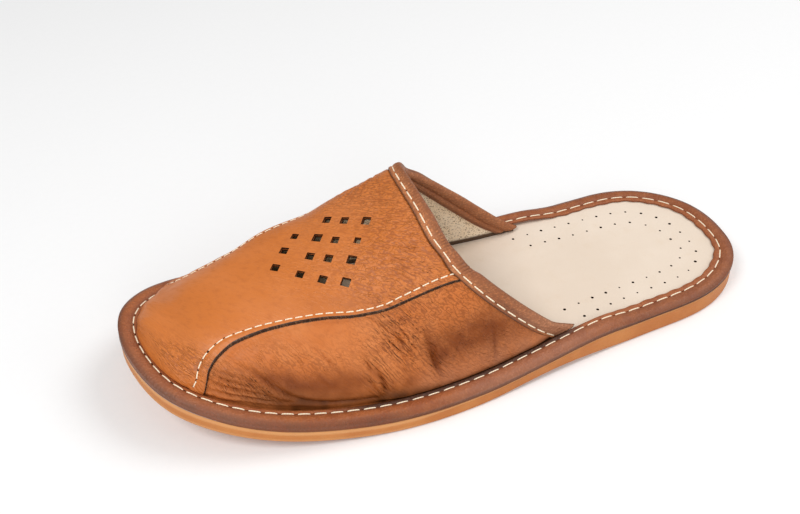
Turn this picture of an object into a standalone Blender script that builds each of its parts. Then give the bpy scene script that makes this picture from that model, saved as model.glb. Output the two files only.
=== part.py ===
"""Mule slipper for a left foot, built as a shoemaker builds it.

Frame: metres, +Z up. The toe points to -X and the heel to +X, the lateral (little toe) side
faces -Y and the medial (big toe) side faces +Y. The origin is under the middle of the sole.

Stations run along the slipper as a fraction of its length, 0 at the toe and 1 at the heel.
"""
import math

import bmesh
import bpy
import numpy as np
from mathutils import Matrix, Vector

# Driving dimensions (metres)
LENGTH = 0.2906
BALL_WIDTH = 0.1144
INSTEP_HEIGHT = 0.0650
TOE_SPRING = 0.0186
ARCH_RISE = 0.0024
HEEL_LIFT = 0.0014
TOE_SOLE = 0.0074
FOREFOOT_SOLE = 0.0062
WAIST_SOLE = 0.0056
HEEL_SOLE = 0.0093

GAP = 0.0003
INSOLE_THICKNESS = 0.0013
WALL = 0.0013
PANEL = 0.0009
BINDING = 0.0009
WELT_FLAP = 0.0009

# Insets from the sole's edge, measured square to it
STITCH_INSET = 0.0063
UPPER_INSET = 0.0087
FLANGE_INSET = 0.0060
INSOLE_INSET = 0.0060
FLAP_INSET = 0.0083
HEEL_FLAP_INSET = 0.0093
SOLE_ROUNDING = 0.0010

# Outline of the sole: widths to each side of the centre line as fractions of the ball width
TOE_TIP = 0.084
HEEL_TIP = 0.011
SOLE_ROWS = (
    # station, lateral, medial
    (0.012, -0.094, 0.234),
    (0.040, -0.235, 0.329),
    (0.085, -0.335, 0.406),
    (0.160, -0.423, 0.467),
    (0.270, -0.479, 0.497),
    (0.400, -0.500, 0.489),
    (0.540, -0.459, 0.449),
    (0.680, -0.400, 0.413),
    (0.800, -0.360, 0.424),
    (0.900, -0.316, 0.409),
    (0.960, -0.229, 0.309),
    (0.990, -0.128, 0.188),
)

# Underside: where it lies flat on the floor, and the arch between
TOE_SPRING_POWER = 1.8
FOREFOOT_FLAT = (0.362, 0.470)
HEEL_FLAT = (0.765, 0.885)
ARCH_STATION = 0.610

# Stations between which the outsole's thickness changes
TOE_END = 0.200
WAIST_START = 0.450
WAIST_END = 0.560
HEEL_START = 0.580
HEEL_END = 0.720

# Cross-sections of the upper: two quarter arches that meet at the ridge
ARCH_POWER = 1.143
UPPER_ROWS = (
    # station, ridge height, ridge shift, lateral fullness, medial fullness
    (0.045, 0.136, 0.16, 2.70, 1.45),
    (0.071, 0.204, 0.19, 2.70, 1.55),
    (0.106, 0.329, 0.23, 2.70, 1.65),
    (0.150, 0.441, 0.28, 2.70, 1.75),
    (0.219, 0.572, 0.36, 2.65, 2.00),
    (0.305, 0.709, 0.45, 2.50, 2.40),
    (0.391, 0.862, 0.47, 2.40, 2.55),
    (0.470, 1.000, 0.47, 2.30, 2.55),
    (0.560, 1.050, 0.46, 2.25, 2.50),
    (0.650, 1.060, 0.44, 2.20, 2.50),
)

# Heights above the outsole, under and around the foot of the upper
INSOLE_TOP = GAP + INSOLE_THICKNESS
FLANGE_TOP = INSOLE_TOP + GAP + WALL
UPPER_BASE = FLANGE_TOP + 0.0004

# Throat seen from the side: height above the floor, station of its lip on each side of the
# foot, and how far its binding reaches ahead of the lip, from the welt up to the instep
LIP_ROWS = (
    # height, lateral lip, medial lip, binding reach
    (0.0080, 0.663, 0.702, 0.033),
    (0.0180, 0.619, 0.649, 0.033),
    (0.0300, 0.575, 0.602, 0.033),
    (0.0450, 0.522, 0.548, 0.032),
    (0.0520, 0.497, 0.522, 0.030),
    (0.0545, 0.486, 0.512, 0.028),
    (0.0590, 0.475, 0.495, 0.025),
    (0.0635, 0.464, 0.475, 0.024),
    (0.0700, 0.457, 0.460, 0.023),
    (0.0735, 0.451, 0.451, 0.023),
)
LIP_END_HEIGHT = 0.0012
THROAT_STATIONS = (0.340, 0.710)

# Section of the binding, in shares of its reach: 0 at the wall's lip, 1 at its front edge
BINDING_ROLL = -0.13
BINDING_INSIDE = 0.85
BINDING_SLACK = 0.0003
PANEL_END = 1.10

# Seams of the front panel: half its width across the foot
PANEL_MIDDLE = 0.0044
SEAM_ROWS = (
    # station, half width
    (0.072, 0.0342),
    (0.093, 0.0318),
    (0.117, 0.0277),
    (0.148, 0.0256),
    (0.180, 0.0257),
    (0.224, 0.0270),
    (0.272, 0.0294),
    (0.320, 0.0331),
    (0.369, 0.0352),
    (0.470, 0.0354),
)
PANEL_TOE_STATION = 0.079
SEAM_TURN_LIMIT = 0.84

# Rolled edge of the welt binding, out from the stitch line to the edge of the sole
WELT_ROLL = (
    # out, share of the strip's height, height added
    (0.0010, 0.0, 0.0003),
    (0.0054, 0.0, 0.0003),
    (0.0062, 0.0, 0.0009),
    (0.0063, 0.5, 0.0000),
    (0.0057, 1.0, -0.0012),
    (0.0046, 1.0, 0.0000),
    (0.0030, 1.0, 0.0005),
    (0.0016, 1.0, 0.0003),
)
FLAP_EDGE = 0.0004
WELT_DROP = (0.700, 0.732)

# Cut-outs: a square lattice laid out on the surface, turned nearly on its corner
CUT_OUT_STATION = 0.305
CUT_OUT_MIDDLE = 0.0043
CUT_OUT_ROWS = 4
CUT_OUT_PITCH = 0.0101
CUT_OUT_TURN = 39.5
CUT_OUT_SIDE = 0.0036
CUT_OUT_DEPTH = 0.0120
CUT_OUT_LEFT_OUT = (0, 0)  # row and column of the medial corner nearest the toe

# Mesh density
SOLE_STATIONS = 40
SOLE_END_TRIM = 0.0006
WELT_STEPS = 84
TOE_STATIONS = (0.0, 0.0022, 0.0055, 0.0105, 0.0180, 0.0265)
BODY_ROWS = 12
BODY_START = 0.150
SIDE_COLUMNS = 6
PANEL_COLUMNS = 14
BINDING_STEPS = 44
BINDING_SAMPLES = 8
THROAT_SAMPLES = 75
SEAM_SAMPLES = 120
SECTION_SAMPLES = 2001
OUTLINE_SAMPLES = 60
SLOPE_SPAN = 0.010
ROW_SPAN = 0.001


def smooth(knots, values, at):
    """Monotone cubic curve through the knots, held at its end values."""
    knots = np.asarray(knots, float)
    values = np.asarray(values, float)
    at = np.clip(at, knots[0], knots[-1])
    step = np.diff(knots)
    rise = np.diff(values) / step
    slope = np.zeros(len(knots))
    same = rise[:-1] * rise[1:] > 0
    slope[1:-1][same] = 2.0 / (1.0 / rise[:-1][same] + 1.0 / rise[1:][same])
    slope[0] = rise[0]
    slope[-1] = rise[-1]
    i = np.clip(np.searchsorted(knots, at, side="right") - 1, 0, len(step) - 1)
    t = (at - knots[i]) / step[i]
    return (
        values[i] * (1 + 2 * t) * (1 - t) ** 2
        + slope[i] * step[i] * t * (1 - t) ** 2
        + values[i + 1] * t * t * (3 - 2 * t)
        + slope[i + 1] * step[i] * t * t * (t - 1)
    )


def ease(start, end, at):
    """Smooth step from 0 at start to 1 at end."""
    t = np.clip((at - start) / (end - start), 0.0, 1.0)
    return t * t * (3 - 2 * t)


def closed_spline(points, per_span):
    """Periodic cubic spline through the points, as a dense closed polyline."""
    points = np.asarray(points, float)
    count = len(points)
    step = np.linalg.norm(np.roll(points, -1, 0) - points, axis=1)
    before = np.roll(step, 1)
    chord = (np.roll(points, -1, 0) - points) / step[:, None]
    matrix = np.zeros((count, count))
    for i in range(count):
        matrix[i, i - 1] = before[i]
        matrix[i, i] = 2 * (before[i] + step[i])
        matrix[i, (i + 1) % count] = step[i]
    bend = np.linalg.solve(matrix, 6 * (chord - np.roll(chord, 1, 0)))
    curve = []
    for i in range(count):
        j = (i + 1) % count
        t = np.arange(per_span)[:, None] / per_span
        a = 1 - t
        curve.append(
            a * points[i]
            + t * points[j]
            + step[i] ** 2 / 6 * ((a**3 - a) * bend[i] + (t**3 - t) * bend[j])
        )
    return np.vstack(curve)


class Outline:
    """Plan outline of the sole, moved in by an inset."""

    def __init__(self, inset=0.0):
        lateral = [(row[0], row[1]) for row in SOLE_ROWS]
        medial = [(row[0], row[2]) for row in reversed(SOLE_ROWS)]
        knots = [(0.0, TOE_TIP)] + lateral + [(1.0, HEEL_TIP)] + medial
        curve = closed_spline(np.array(knots) * (LENGTH, BALL_WIDTH), OUTLINE_SAMPLES)
        along = np.roll(curve, -1, 0) - np.roll(curve, 1, 0)
        along /= np.linalg.norm(along, axis=1)[:, None]
        self.outward = np.stack([along[:, 1], -along[:, 0]], 1)
        self.curve = curve - self.outward * inset
        toe = np.argmin(self.curve[:, 0])
        self.curve = np.roll(self.curve, -toe, 0)
        self.outward = np.roll(self.outward, -toe, 0)
        heel = np.argmax(self.curve[:, 0])
        self.start = self.curve[0, 0]
        self.end = self.curve[heel, 0]
        self.lateral = self.curve[: heel + 1]
        self.medial = np.vstack([self.curve[heel:], self.curve[:1]])[::-1]

    def sides(self, x):
        """Lateral and medial y of the outline at x, measured from the toe end of the sole."""
        x = np.clip(x, self.start, self.end)
        depth = np.sqrt(x - self.start)
        both = []
        for side in (self.lateral, self.medial):
            reach = np.maximum.accumulate(np.sqrt(np.clip(side[:, 0] - self.start, 0, None)))
            both.append(np.interp(depth, reach, side[:, 1]))
        return both

    def around(self, count):
        """Points of the outline at even steps, with their outward directions."""
        loop = np.vstack([self.curve, self.curve[:1]])
        path = np.concatenate([[0.0], np.cumsum(np.linalg.norm(np.diff(loop, axis=0), axis=1))])
        at = np.arange(count) * path[-1] / count
        outward = np.vstack([self.outward, self.outward[:1]])
        points = np.stack([np.interp(at, path, loop[:, k]) for k in (0, 1)], 1)
        normals = np.stack([np.interp(at, path, outward[:, k]) for k in (0, 1)], 1)
        return points, normals / np.linalg.norm(normals, axis=1)[:, None]


def underside(x):
    """Height of the outsole's underside at x from the toe."""
    s = np.asarray(x, float) / LENGTH
    toe = np.clip((FOREFOOT_FLAT[0] - s) / FOREFOOT_FLAT[0], 0.0, None)
    arch = ease(FOREFOOT_FLAT[1], ARCH_STATION, s) * (1 - ease(ARCH_STATION, HEEL_FLAT[0], s))
    heel = np.clip((s - HEEL_FLAT[1]) / (1 - HEEL_FLAT[1]), 0.0, None)
    return TOE_SPRING * toe**TOE_SPRING_POWER + ARCH_RISE * arch + HEEL_LIFT * heel**2


def sole_top(x):
    """Height of the outsole's upper face at x from the toe."""
    s = np.asarray(x, float) / LENGTH
    thickness = TOE_SOLE + (FOREFOOT_SOLE - TOE_SOLE) * ease(0.0, TOE_END, s)
    thickness = thickness + (WAIST_SOLE - FOREFOOT_SOLE) * ease(WAIST_START, WAIST_END, s)
    thickness = thickness + (HEEL_SOLE - WAIST_SOLE) * ease(HEEL_START, HEEL_END, s)
    return underside(x) + thickness


UPPER_PLAN = Outline(UPPER_INSET)
UPPER_TIP = UPPER_PLAN.start


def upper_point(x, turn):
    """Point of the upper's outer face: turn is -1 at the lateral welt, 0 on the ridge and
    +1 at the medial welt.
    """
    rows = np.array(UPPER_ROWS)
    root = np.sqrt(np.concatenate([[0.0], rows[:, 0] - UPPER_TIP / LENGTH]))
    reach = np.sqrt(np.clip(x / LENGTH - UPPER_TIP / LENGTH, 0.0, None))
    height = smooth(root, np.concatenate([[0.0], rows[:, 1]]), reach) * INSTEP_HEIGHT
    shift, lateral_full, medial_full = (smooth(root[1:], rows[:, k], reach) for k in (2, 3, 4))
    lateral, medial = UPPER_PLAN.sides(x)
    half = (medial - lateral) / 2
    ridge = (medial + lateral) / 2 + half * shift
    angle = turn * math.pi / 2
    wide = np.abs(np.sin(angle))
    y = np.where(
        turn < 0,
        ridge - (ridge - lateral) * wide ** (2 / lateral_full),
        ridge + (medial - ridge) * wide ** (2 / medial_full),
    )
    rise = np.clip(np.cos(angle), 0.0, None) ** ARCH_POWER
    return np.stack(np.broadcast_arrays(x, y, sole_top(x) + UPPER_BASE + height * rise), -1)


def turn_at(x, y):
    """Turn of the upper's outer face that lies above (x, y)."""
    turns = np.linspace(-1.0, 1.0, SECTION_SAMPLES)
    ys = upper_point(np.full_like(turns, x), turns)[:, 1]
    return float(np.interp(y, ys, turns))


def seam_turns():
    """Stations, and the turn of the front panel's lateral and medial edge at each."""
    rows = np.array(SEAM_ROWS)
    xs = np.linspace(UPPER_TIP, rows[-1, 0] * LENGTH, SEAM_SAMPLES)
    table = [xs]
    for side in (-1, 1):
        half = smooth(rows[:, 0], rows[:, 1], xs / LENGTH)
        turns = [turn_at(x, PANEL_MIDDLE + side * wide) for x, wide in zip(xs, half)]
        table.append(np.clip(turns, -SEAM_TURN_LIMIT, SEAM_TURN_LIMIT))
    return table


SEAM_TURNS = seam_turns()


def column_turns(x):
    """Turns of all the columns at x, with one column on each seam."""
    lateral, medial = (np.interp(x, SEAM_TURNS[0], SEAM_TURNS[k]) for k in (1, 2))
    return np.concatenate(
        [
            np.linspace(-1.0, lateral, SIDE_COLUMNS + 1)[:-1],
            np.linspace(lateral, medial, PANEL_COLUMNS + 1),
            np.linspace(medial, 1.0, SIDE_COLUMNS + 1)[1:],
        ]
    )


def throat_x(column, share):
    """Where a column meets the throat: share 0 is the lip, 1 the binding's front edge."""
    rows = np.array(LIP_ROWS)
    xs = np.linspace(*THROAT_STATIONS, THROAT_SAMPLES) * LENGTH
    turns = np.array([column_turns(x)[column] for x in xs])
    points = upper_point(xs, turns)
    sides = [rows[:, k] - share * rows[:, 3] for k in (1, 2)]
    lateral, medial = (smooth(rows[:, 0], side, points[:, 2]) * LENGTH for side in sides)
    over = xs - np.where(turns < 0, lateral, medial)
    k = int(np.argmax(over > 0))
    return xs[k - 1] + (xs[k] - xs[k - 1]) * over[k - 1] / (over[k - 1] - over[k])


def frame(points):
    """From station coordinates to the frame of the slipper."""
    return np.asarray(points) - (LENGTH / 2, 0.0, 0.0)


def leather(name, color, roughness):
    """Principled material for one piece."""
    material = bpy.data.materials.new(name)
    material.use_nodes = True
    shader = material.node_tree.nodes["Principled BSDF"]
    shader.inputs["Base Color"].default_value = (*color, 1.0)
    shader.inputs["Roughness"].default_value = roughness
    shader.inputs["Metallic"].default_value = 0.0
    return material


def new_object(name, mesh_data, collection, material=None):
    """Object from a bmesh, smooth but for its real edges."""
    mesh = bpy.data.meshes.new(name)
    mesh_data.to_mesh(mesh)
    mesh_data.free()
    mesh.shade_smooth()
    mesh.set_sharp_from_angle(angle=math.radians(40))
    made = bpy.data.objects.new(name, mesh)
    if material:
        mesh.materials.append(material)
    collection.objects.link(made)
    return made


def loft(sections, closed):
    """Solid through sections of equal point counts; an open one gets end faces."""
    solid = bmesh.new()
    rings = [[solid.verts.new(point) for point in section] for section in sections]
    size = len(rings[0])
    spans = len(rings) if closed else len(rings) - 1
    for i in range(spans):
        first, second = rings[i], rings[(i + 1) % len(rings)]
        for k in range(size):
            m = (k + 1) % size
            solid.faces.new((first[k], first[m], second[m], second[k]))
    if not closed:
        solid.faces.new(rings[0])
        solid.faces.new(reversed(rings[-1]))
    bmesh.ops.recalc_face_normals(solid, faces=solid.faces)
    return solid


def sole_sections(rings):
    """Sections across the foot; each ring is an inset outline with a height function."""
    share = (1 - np.cos(np.linspace(0.0, math.pi, SOLE_STATIONS))) / 2
    share = SOLE_END_TRIM + share * (1 - 2 * SOLE_END_TRIM)
    sections = []
    for at in share:
        lateral_side, medial_side = [], []
        for outline, height in rings:
            x = outline.start + at * (outline.end - outline.start)
            lateral, medial = outline.sides(x)
            lateral_side.append((x, lateral, height(x)))
            medial_side.append((x, medial, height(x)))
        sections.append(frame(lateral_side + medial_side[::-1]))
    return sections


def build_outsole(collection):
    edge = Outline()
    inner = Outline(SOLE_ROUNDING)
    rings = (
        (inner, underside),
        (edge, lambda x: underside(x) + SOLE_ROUNDING),
        (edge, sole_top),
    )
    material = leather("outsole rubber", (0.60, 0.27, 0.07), 0.6)
    return new_object("outsole", loft(sole_sections(rings), False), collection, material)


def build_insole(collection):
    edge = Outline(INSOLE_INSET)
    rings = (
        (edge, lambda x: sole_top(x) + GAP),
        (edge, lambda x: sole_top(x) + INSOLE_TOP),
    )
    material = leather("insole leather", (0.80, 0.68, 0.55), 0.55)
    return new_object("insole", loft(sole_sections(rings), False), collection, material)


def build_welt_binding(collection):
    """Strip that wraps the insole's edge; along the upper its flap lies on the upper's flange."""
    points, outward = Outline(STITCH_INSET).around(WELT_STEPS)
    sections = []
    for point, normal in zip(points, outward):
        behind = float(ease(*WELT_DROP, point[0] / LENGTH))
        under = INSOLE_TOP + GAP + (WALL + GAP) * (1 - behind)
        reach = FLAP_INSET + (HEEL_FLAP_INSET - FLAP_INSET) * behind - STITCH_INSET
        top = under + WELT_FLAP
        profile = [(out, share * top + extra) for out, share, extra in WELT_ROLL]
        profile += [
            (0.0, top),
            (-reach + FLAP_EDGE, top),
            (-reach, top - FLAP_EDGE),
            (-reach, under),
            (WELT_ROLL[0][0], under),
        ]
        section = []
        for out, up in profile:
            x, y = point + normal * out
            section.append((x, y, float(sole_top(x)) + up))
        sections.append(frame(section))
    material = leather("welt leather", (0.20, 0.075, 0.04), 0.45)
    return new_object("welt_binding", loft(sections, True), collection, material)


def upper_rows():
    """Station of every grid row in every column, from the toe to the lip."""
    columns = 2 * SIDE_COLUMNS + PANEL_COLUMNS + 1
    body = BODY_START * LENGTH
    toe = [np.full(columns, UPPER_TIP + step) for step in TOE_STATIONS]
    front = np.array([throat_x(k, PANEL_END) for k in range(columns)])
    covered = np.array([throat_x(k, 0.5) for k in range(columns)])
    lip = np.array([throat_x(k, 0.0) for k in range(columns)])
    rows = [body + (front - body) * k / BODY_ROWS for k in range(BODY_ROWS + 1)]
    return toe + rows + [covered, lip]


def upper_grid():
    """Outer face of the front panel's level, as a grid of rows and columns."""
    grid = []
    for row in upper_rows():
        turns = [column_turns(x)[k] for k, x in enumerate(row)]
        grid.append([upper_point(x, turn) for x, turn in zip(row, turns)])
    return np.array(grid)


def grid_normals(grid):
    """Outward directions of a grid, from the differences of its neighbours."""
    along = np.gradient(grid, axis=0)
    across = np.gradient(grid, axis=1)
    normal = np.cross(along, across)
    size = np.linalg.norm(normal, axis=2, keepdims=True)
    normal = normal / np.where(size > 1e-12, size, 1.0)
    normal[0] = (-1.0, 0.0, 0.0)
    return normal


def sheet(grid, cells):
    """Open surface over the chosen cells of a grid."""
    surface = bmesh.new()
    verts = {}
    for r, c in cells:
        corners = []
        for key in ((r, c), (r + 1, c), (r + 1, c + 1), (r, c + 1)):
            if key not in verts:
                verts[key] = surface.verts.new(frame(grid[key]))
            corners.append(verts[key])
        surface.faces.new(corners)
    bmesh.ops.remove_doubles(surface, verts=surface.verts, dist=1e-6)
    bmesh.ops.dissolve_degenerate(surface, edges=surface.edges, dist=1e-7)
    return surface


def thicken(made, thickness):
    """Give an open surface its wall, inwards from the face that was drawn."""
    wall = made.modifiers.new("wall", "SOLIDIFY")
    wall.thickness = thickness
    wall.offset = -1.0
    wall.use_even_offset = False
    wall.use_rim = True


def punch(made, cutter):
    """Cut the lattice through a wall."""
    cut = made.modifiers.new("cut-outs", "BOOLEAN")
    cut.operation = "DIFFERENCE"
    cut.solver = "EXACT"
    cut.object = cutter


def flange_directions(foot, side):
    """Outward plan directions along the foot line of the upper."""
    along = np.gradient(foot[:, :2], axis=0)
    along /= np.linalg.norm(along, axis=1)[:, None]
    outward = np.stack([along[:, 1], -along[:, 0]], 1) * (-side)
    outward[0] = (-1.0, 0.0)
    return outward


def build_upper(collection, cutter, grid, normals):
    """Hollow wall under the front panel, with a flange turned out under the welt binding."""
    drop = PANEL + GAP
    wall = grid - normals * drop
    for column, side in ((0, -1), (-1, 1)):
        foot = grid[:, column].copy()
        outward = flange_directions(foot, side)
        foot[:, :2] -= outward * drop
        foot[:, 2] = sole_top(foot[:, 0]) + FLANGE_TOP
        wall[:, column] = foot
    flanges = []
    for column, side in ((0, -1), (-1, 1)):
        edge = wall[:, column].copy()
        outward = flange_directions(grid[:, column], side)
        edge[:, :2] += outward * (UPPER_INSET - FLANGE_INSET + drop)
        edge[:, 2] = sole_top(edge[:, 0]) + FLANGE_TOP
        flanges.append(edge)
    full = np.concatenate([flanges[0][:, None], wall, flanges[1][:, None]], axis=1)
    rows, columns = full.shape[:2]
    cells = [(r, c) for r in range(rows - 1) for c in range(columns - 1)]
    material = leather("side leather", (0.50, 0.19, 0.06), 0.45)
    made = new_object("upper", sheet(full, cells), collection, material)
    thicken(made, WALL)
    punch(made, cutter)
    return made


def build_vamp_panel(collection, cutter, grid):
    """Front panel: lies on the upper between the seams, and over all of the toe."""
    rows = grid.shape[0]
    toe_rows = int(np.sum(grid[:, SIDE_COLUMNS, 0] < PANEL_TOE_STATION * LENGTH))
    last_row = rows - 3
    panel = range(SIDE_COLUMNS, SIDE_COLUMNS + PANEL_COLUMNS)
    cells = []
    for r in range(last_row):
        columns = range(grid.shape[1] - 1) if r < toe_rows else panel
        cells += [(r, c) for c in columns]
    material = leather("vamp leather", (0.58, 0.22, 0.05), 0.42)
    made = new_object("vamp_panel", sheet(grid, cells), collection, material)
    thicken(made, PANEL)
    punch(made, cutter)
    return made


def binding_line(share, columns):
    """Line along the throat at a share of the binding's width, from welt to welt."""
    base = np.array([throat_x(k, share) for k in range(columns)])
    fine = np.linspace(0, columns - 1, BINDING_SAMPLES * columns)
    line = []
    for at in fine:
        x = float(np.interp(at, np.arange(columns), base))
        turns = column_turns(x)
        line.append(upper_point(x, float(np.interp(at, np.arange(columns), turns))))
    line = np.array(line)
    clear = line[:, 2] > sole_top(line[:, 0]) + UPPER_BASE + LIP_END_HEIGHT
    line = line[clear]
    path = np.concatenate([[0.0], np.cumsum(np.linalg.norm(np.diff(line, axis=0), axis=1))])
    at = np.linspace(0.0, path[-1], BINDING_STEPS + 1)
    return np.stack([np.interp(at, path, line[:, k]) for k in range(3)], 1)


def build_collar_binding(collection):
    """Folded strip over the lip of the throat, outside and inside."""
    outer = -(PANEL + GAP) + GAP
    inner = -(PANEL + GAP) - WALL - GAP
    middle = (outer + inner) / 2
    half = (outer - inner) / 2
    profile = (
        # share of the binding's reach, height off the outer face
        (1.00, outer),
        (1.00, outer + BINDING),
        (0.50, outer + BINDING + BINDING_SLACK),
        (0.05, outer + BINDING),
        (BINDING_ROLL, middle + half * 0.6),
        (BINDING_ROLL, middle - half * 0.6),
        (0.05, inner - BINDING),
        (0.45, inner - BINDING - BINDING_SLACK),
        (BINDING_INSIDE, inner - BINDING),
        (BINDING_INSIDE, inner),
        (0.45, inner),
        (-0.04, inner),
        (-0.04, outer),
        (0.50, outer),
    )
    shares = sorted({share for share, _ in profile})
    columns = 2 * SIDE_COLUMNS + PANEL_COLUMNS + 1
    strips = {share: binding_line(share, columns) for share in shares}
    order = {share: k for k, share in enumerate(shares)}
    band = np.array([strips[share] for share in shares])
    normals = -grid_normals(band)
    normals[0] = normals[1]
    sections = []
    for step in range(BINDING_STEPS + 1):
        section = []
        for share, lift in profile:
            k = order[share]
            section.append(band[k, step] + normals[k, step] * lift)
        sections.append(frame(section))
    material = leather("collar leather", (0.22, 0.08, 0.04), 0.45)
    return new_object("collar_binding", loft(sections, False), collection, material)


def panel_point(ahead, aside):
    """Point of the front panel at arc lengths along and across it from the lattice's middle."""
    start = CUT_OUT_STATION * LENGTH
    low, high = (
        upper_point(x, turn_at(x, CUT_OUT_MIDDLE)) for x in (start, start + SLOPE_SPAN)
    )
    x = start + ahead * SLOPE_SPAN / float(np.linalg.norm(high - low))
    turns = np.linspace(-1.0, 1.0, SECTION_SAMPLES)
    section = upper_point(np.full_like(turns, x), turns)
    steps = np.linalg.norm(np.diff(section, axis=0), axis=1)
    path = np.concatenate([[0.0], np.cumsum(steps)])
    middle = np.interp(CUT_OUT_MIDDLE, section[:, 1], path)
    return upper_point(x, float(np.interp(middle + aside, path, turns)))


def build_cut_out_cutter(collection):
    """Small square prisms, each square to the panel and to the rows of the lattice."""
    prisms = bmesh.new()
    turn = math.radians(CUT_OUT_TURN)
    along_row = np.array((math.cos(turn), -math.sin(turn)))
    along_column = np.array((-math.sin(turn), -math.cos(turn)))
    spread = (CUT_OUT_ROWS - 1) / 2
    for i in range(CUT_OUT_ROWS):
        for j in range(CUT_OUT_ROWS):
            if (i, j) == CUT_OUT_LEFT_OUT:
                continue
            flat = ((i - spread) * along_row + (j - spread) * along_column) * CUT_OUT_PITCH
            place = panel_point(*flat)
            row_step = Vector(panel_point(*(flat + ROW_SPAN * along_row)) - place)
            column_step = Vector(panel_point(*(flat + ROW_SPAN * along_column)) - place)
            normal = column_step.cross(row_step).normalized()
            corner = (row_step.normalized() + column_step.normalized()).normalized()
            corner = (corner - normal * corner.dot(normal)).normalized()
            spin = Matrix((corner, normal.cross(corner), normal)).transposed().to_4x4()
            spin.translation = Vector(frame(place))
            bmesh.ops.create_cone(
                prisms,
                cap_ends=True,
                segments=4,
                radius1=CUT_OUT_SIDE / math.sqrt(2),
                radius2=CUT_OUT_SIDE / math.sqrt(2),
                depth=CUT_OUT_DEPTH,
                matrix=spin,
            )
    cutter = new_object("cut_out_cutter", prisms, collection)
    cutter.hide_render = True
    cutter.display_type = "WIRE"
    return cutter


def main():
    for old in list(bpy.data.objects):
        bpy.data.objects.remove(old)
    slipper = bpy.data.collections.new("mule slipper")
    cutters = bpy.data.collections.new("cutters")
    bpy.context.scene.collection.children.link(slipper)
    bpy.context.scene.collection.children.link(cutters)

    build_outsole(slipper)
    build_insole(slipper)
    build_welt_binding(slipper)
    grid = upper_grid()
    normals = grid_normals(grid)
    cutter = build_cut_out_cutter(cutters)
    build_upper(slipper, cutter, grid, normals)
    build_vamp_panel(slipper, cutter, grid)
    build_collar_binding(slipper)


main()
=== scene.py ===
"""Mule slipper, dressed: leather, lining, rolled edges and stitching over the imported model.

Frame as in the part: metres, toe to -X, heel to +X, lateral side -Y, medial side +Y, +Z up.
Stations are fractions of the length from the toe. "Skin" coordinates are millimetres laid out
on the upper: x from the toe, g across it from the lateral welt. The "turn" of a point of the
upper is -1 at the lateral welt, 0 on the ridge and +1 at the medial welt. Its "share across"
is -1 and 2 at the welts, and 0 and 1 at the front panel's seams.
"""

import math

import bmesh
import bpy
import numpy as np
from mathutils import Matrix, Vector


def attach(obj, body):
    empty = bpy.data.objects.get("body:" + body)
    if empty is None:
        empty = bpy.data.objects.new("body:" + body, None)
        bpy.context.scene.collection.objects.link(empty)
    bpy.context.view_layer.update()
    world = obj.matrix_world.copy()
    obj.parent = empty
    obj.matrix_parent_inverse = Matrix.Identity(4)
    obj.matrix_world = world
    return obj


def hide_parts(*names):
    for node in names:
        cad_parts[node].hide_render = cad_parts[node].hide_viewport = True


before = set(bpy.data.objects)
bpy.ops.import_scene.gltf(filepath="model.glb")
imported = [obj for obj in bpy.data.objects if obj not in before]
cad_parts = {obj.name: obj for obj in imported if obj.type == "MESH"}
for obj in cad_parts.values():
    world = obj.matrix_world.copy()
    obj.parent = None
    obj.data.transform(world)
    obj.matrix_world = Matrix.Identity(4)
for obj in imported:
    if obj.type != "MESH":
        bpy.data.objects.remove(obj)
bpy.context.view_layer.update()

MM = 0.001

# ---------------------------------------------------------------- dimensions, as in the part
LENGTH = 0.2906
BALL_WIDTH = 0.1144
INSTEP_HEIGHT = 0.0650
TOE_SPRING = 0.0186
ARCH_RISE = 0.0024
HEEL_LIFT = 0.0014
TOE_SOLE = 0.0074
FOREFOOT_SOLE = 0.0062
WAIST_SOLE = 0.0056
HEEL_SOLE = 0.0093
GAP = 0.0003
INSOLE_THICKNESS = 0.0013
WALL = 0.0013
PANEL = 0.0009
WELT_FLAP = 0.0009
STITCH_INSET = 0.0063
UPPER_INSET = 0.0087
INSOLE_INSET = 0.0060
FLAP_INSET = 0.0083
HEEL_FLAP_INSET = 0.0093
TOE_TIP = 0.084
HEEL_TIP = 0.011
SOLE_ROWS = (
    # station, lateral, medial
    (0.012, -0.094, 0.234),
    (0.040, -0.235, 0.329),
    (0.085, -0.335, 0.406),
    (0.160, -0.423, 0.467),
    (0.270, -0.479, 0.497),
    (0.400, -0.500, 0.489),
    (0.540, -0.459, 0.449),
    (0.680, -0.400, 0.413),
    (0.800, -0.360, 0.424),
    (0.900, -0.316, 0.409),
    (0.960, -0.229, 0.309),
    (0.990, -0.128, 0.188),
)
TOE_SPRING_POWER = 1.8
FOREFOOT_FLAT = (0.362, 0.470)
HEEL_FLAT = (0.765, 0.885)
ARCH_STATION = 0.610
TOE_END = 0.200
WAIST_START = 0.450
WAIST_END = 0.560
HEEL_START = 0.580
HEEL_END = 0.720
ARCH_POWER = 1.143
UPPER_ROWS = (
    # station, ridge height, ridge shift, lateral fullness, medial fullness
    (0.045, 0.136, 0.16, 2.70, 1.45),
    (0.071, 0.204, 0.19, 2.70, 1.55),
    (0.106, 0.329, 0.23, 2.70, 1.65),
    (0.150, 0.441, 0.28, 2.70, 1.75),
    (0.219, 0.572, 0.36, 2.65, 2.00),
    (0.305, 0.709, 0.45, 2.50, 2.40),
    (0.391, 0.862, 0.47, 2.40, 2.55),
    (0.470, 1.000, 0.47, 2.30, 2.55),
    (0.560, 1.050, 0.46, 2.25, 2.50),
    (0.650, 1.060, 0.44, 2.20, 2.50),
)
INSOLE_TOP = GAP + INSOLE_THICKNESS
FLANGE_TOP = INSOLE_TOP + GAP + WALL
UPPER_BASE = FLANGE_TOP + 0.0004
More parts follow.
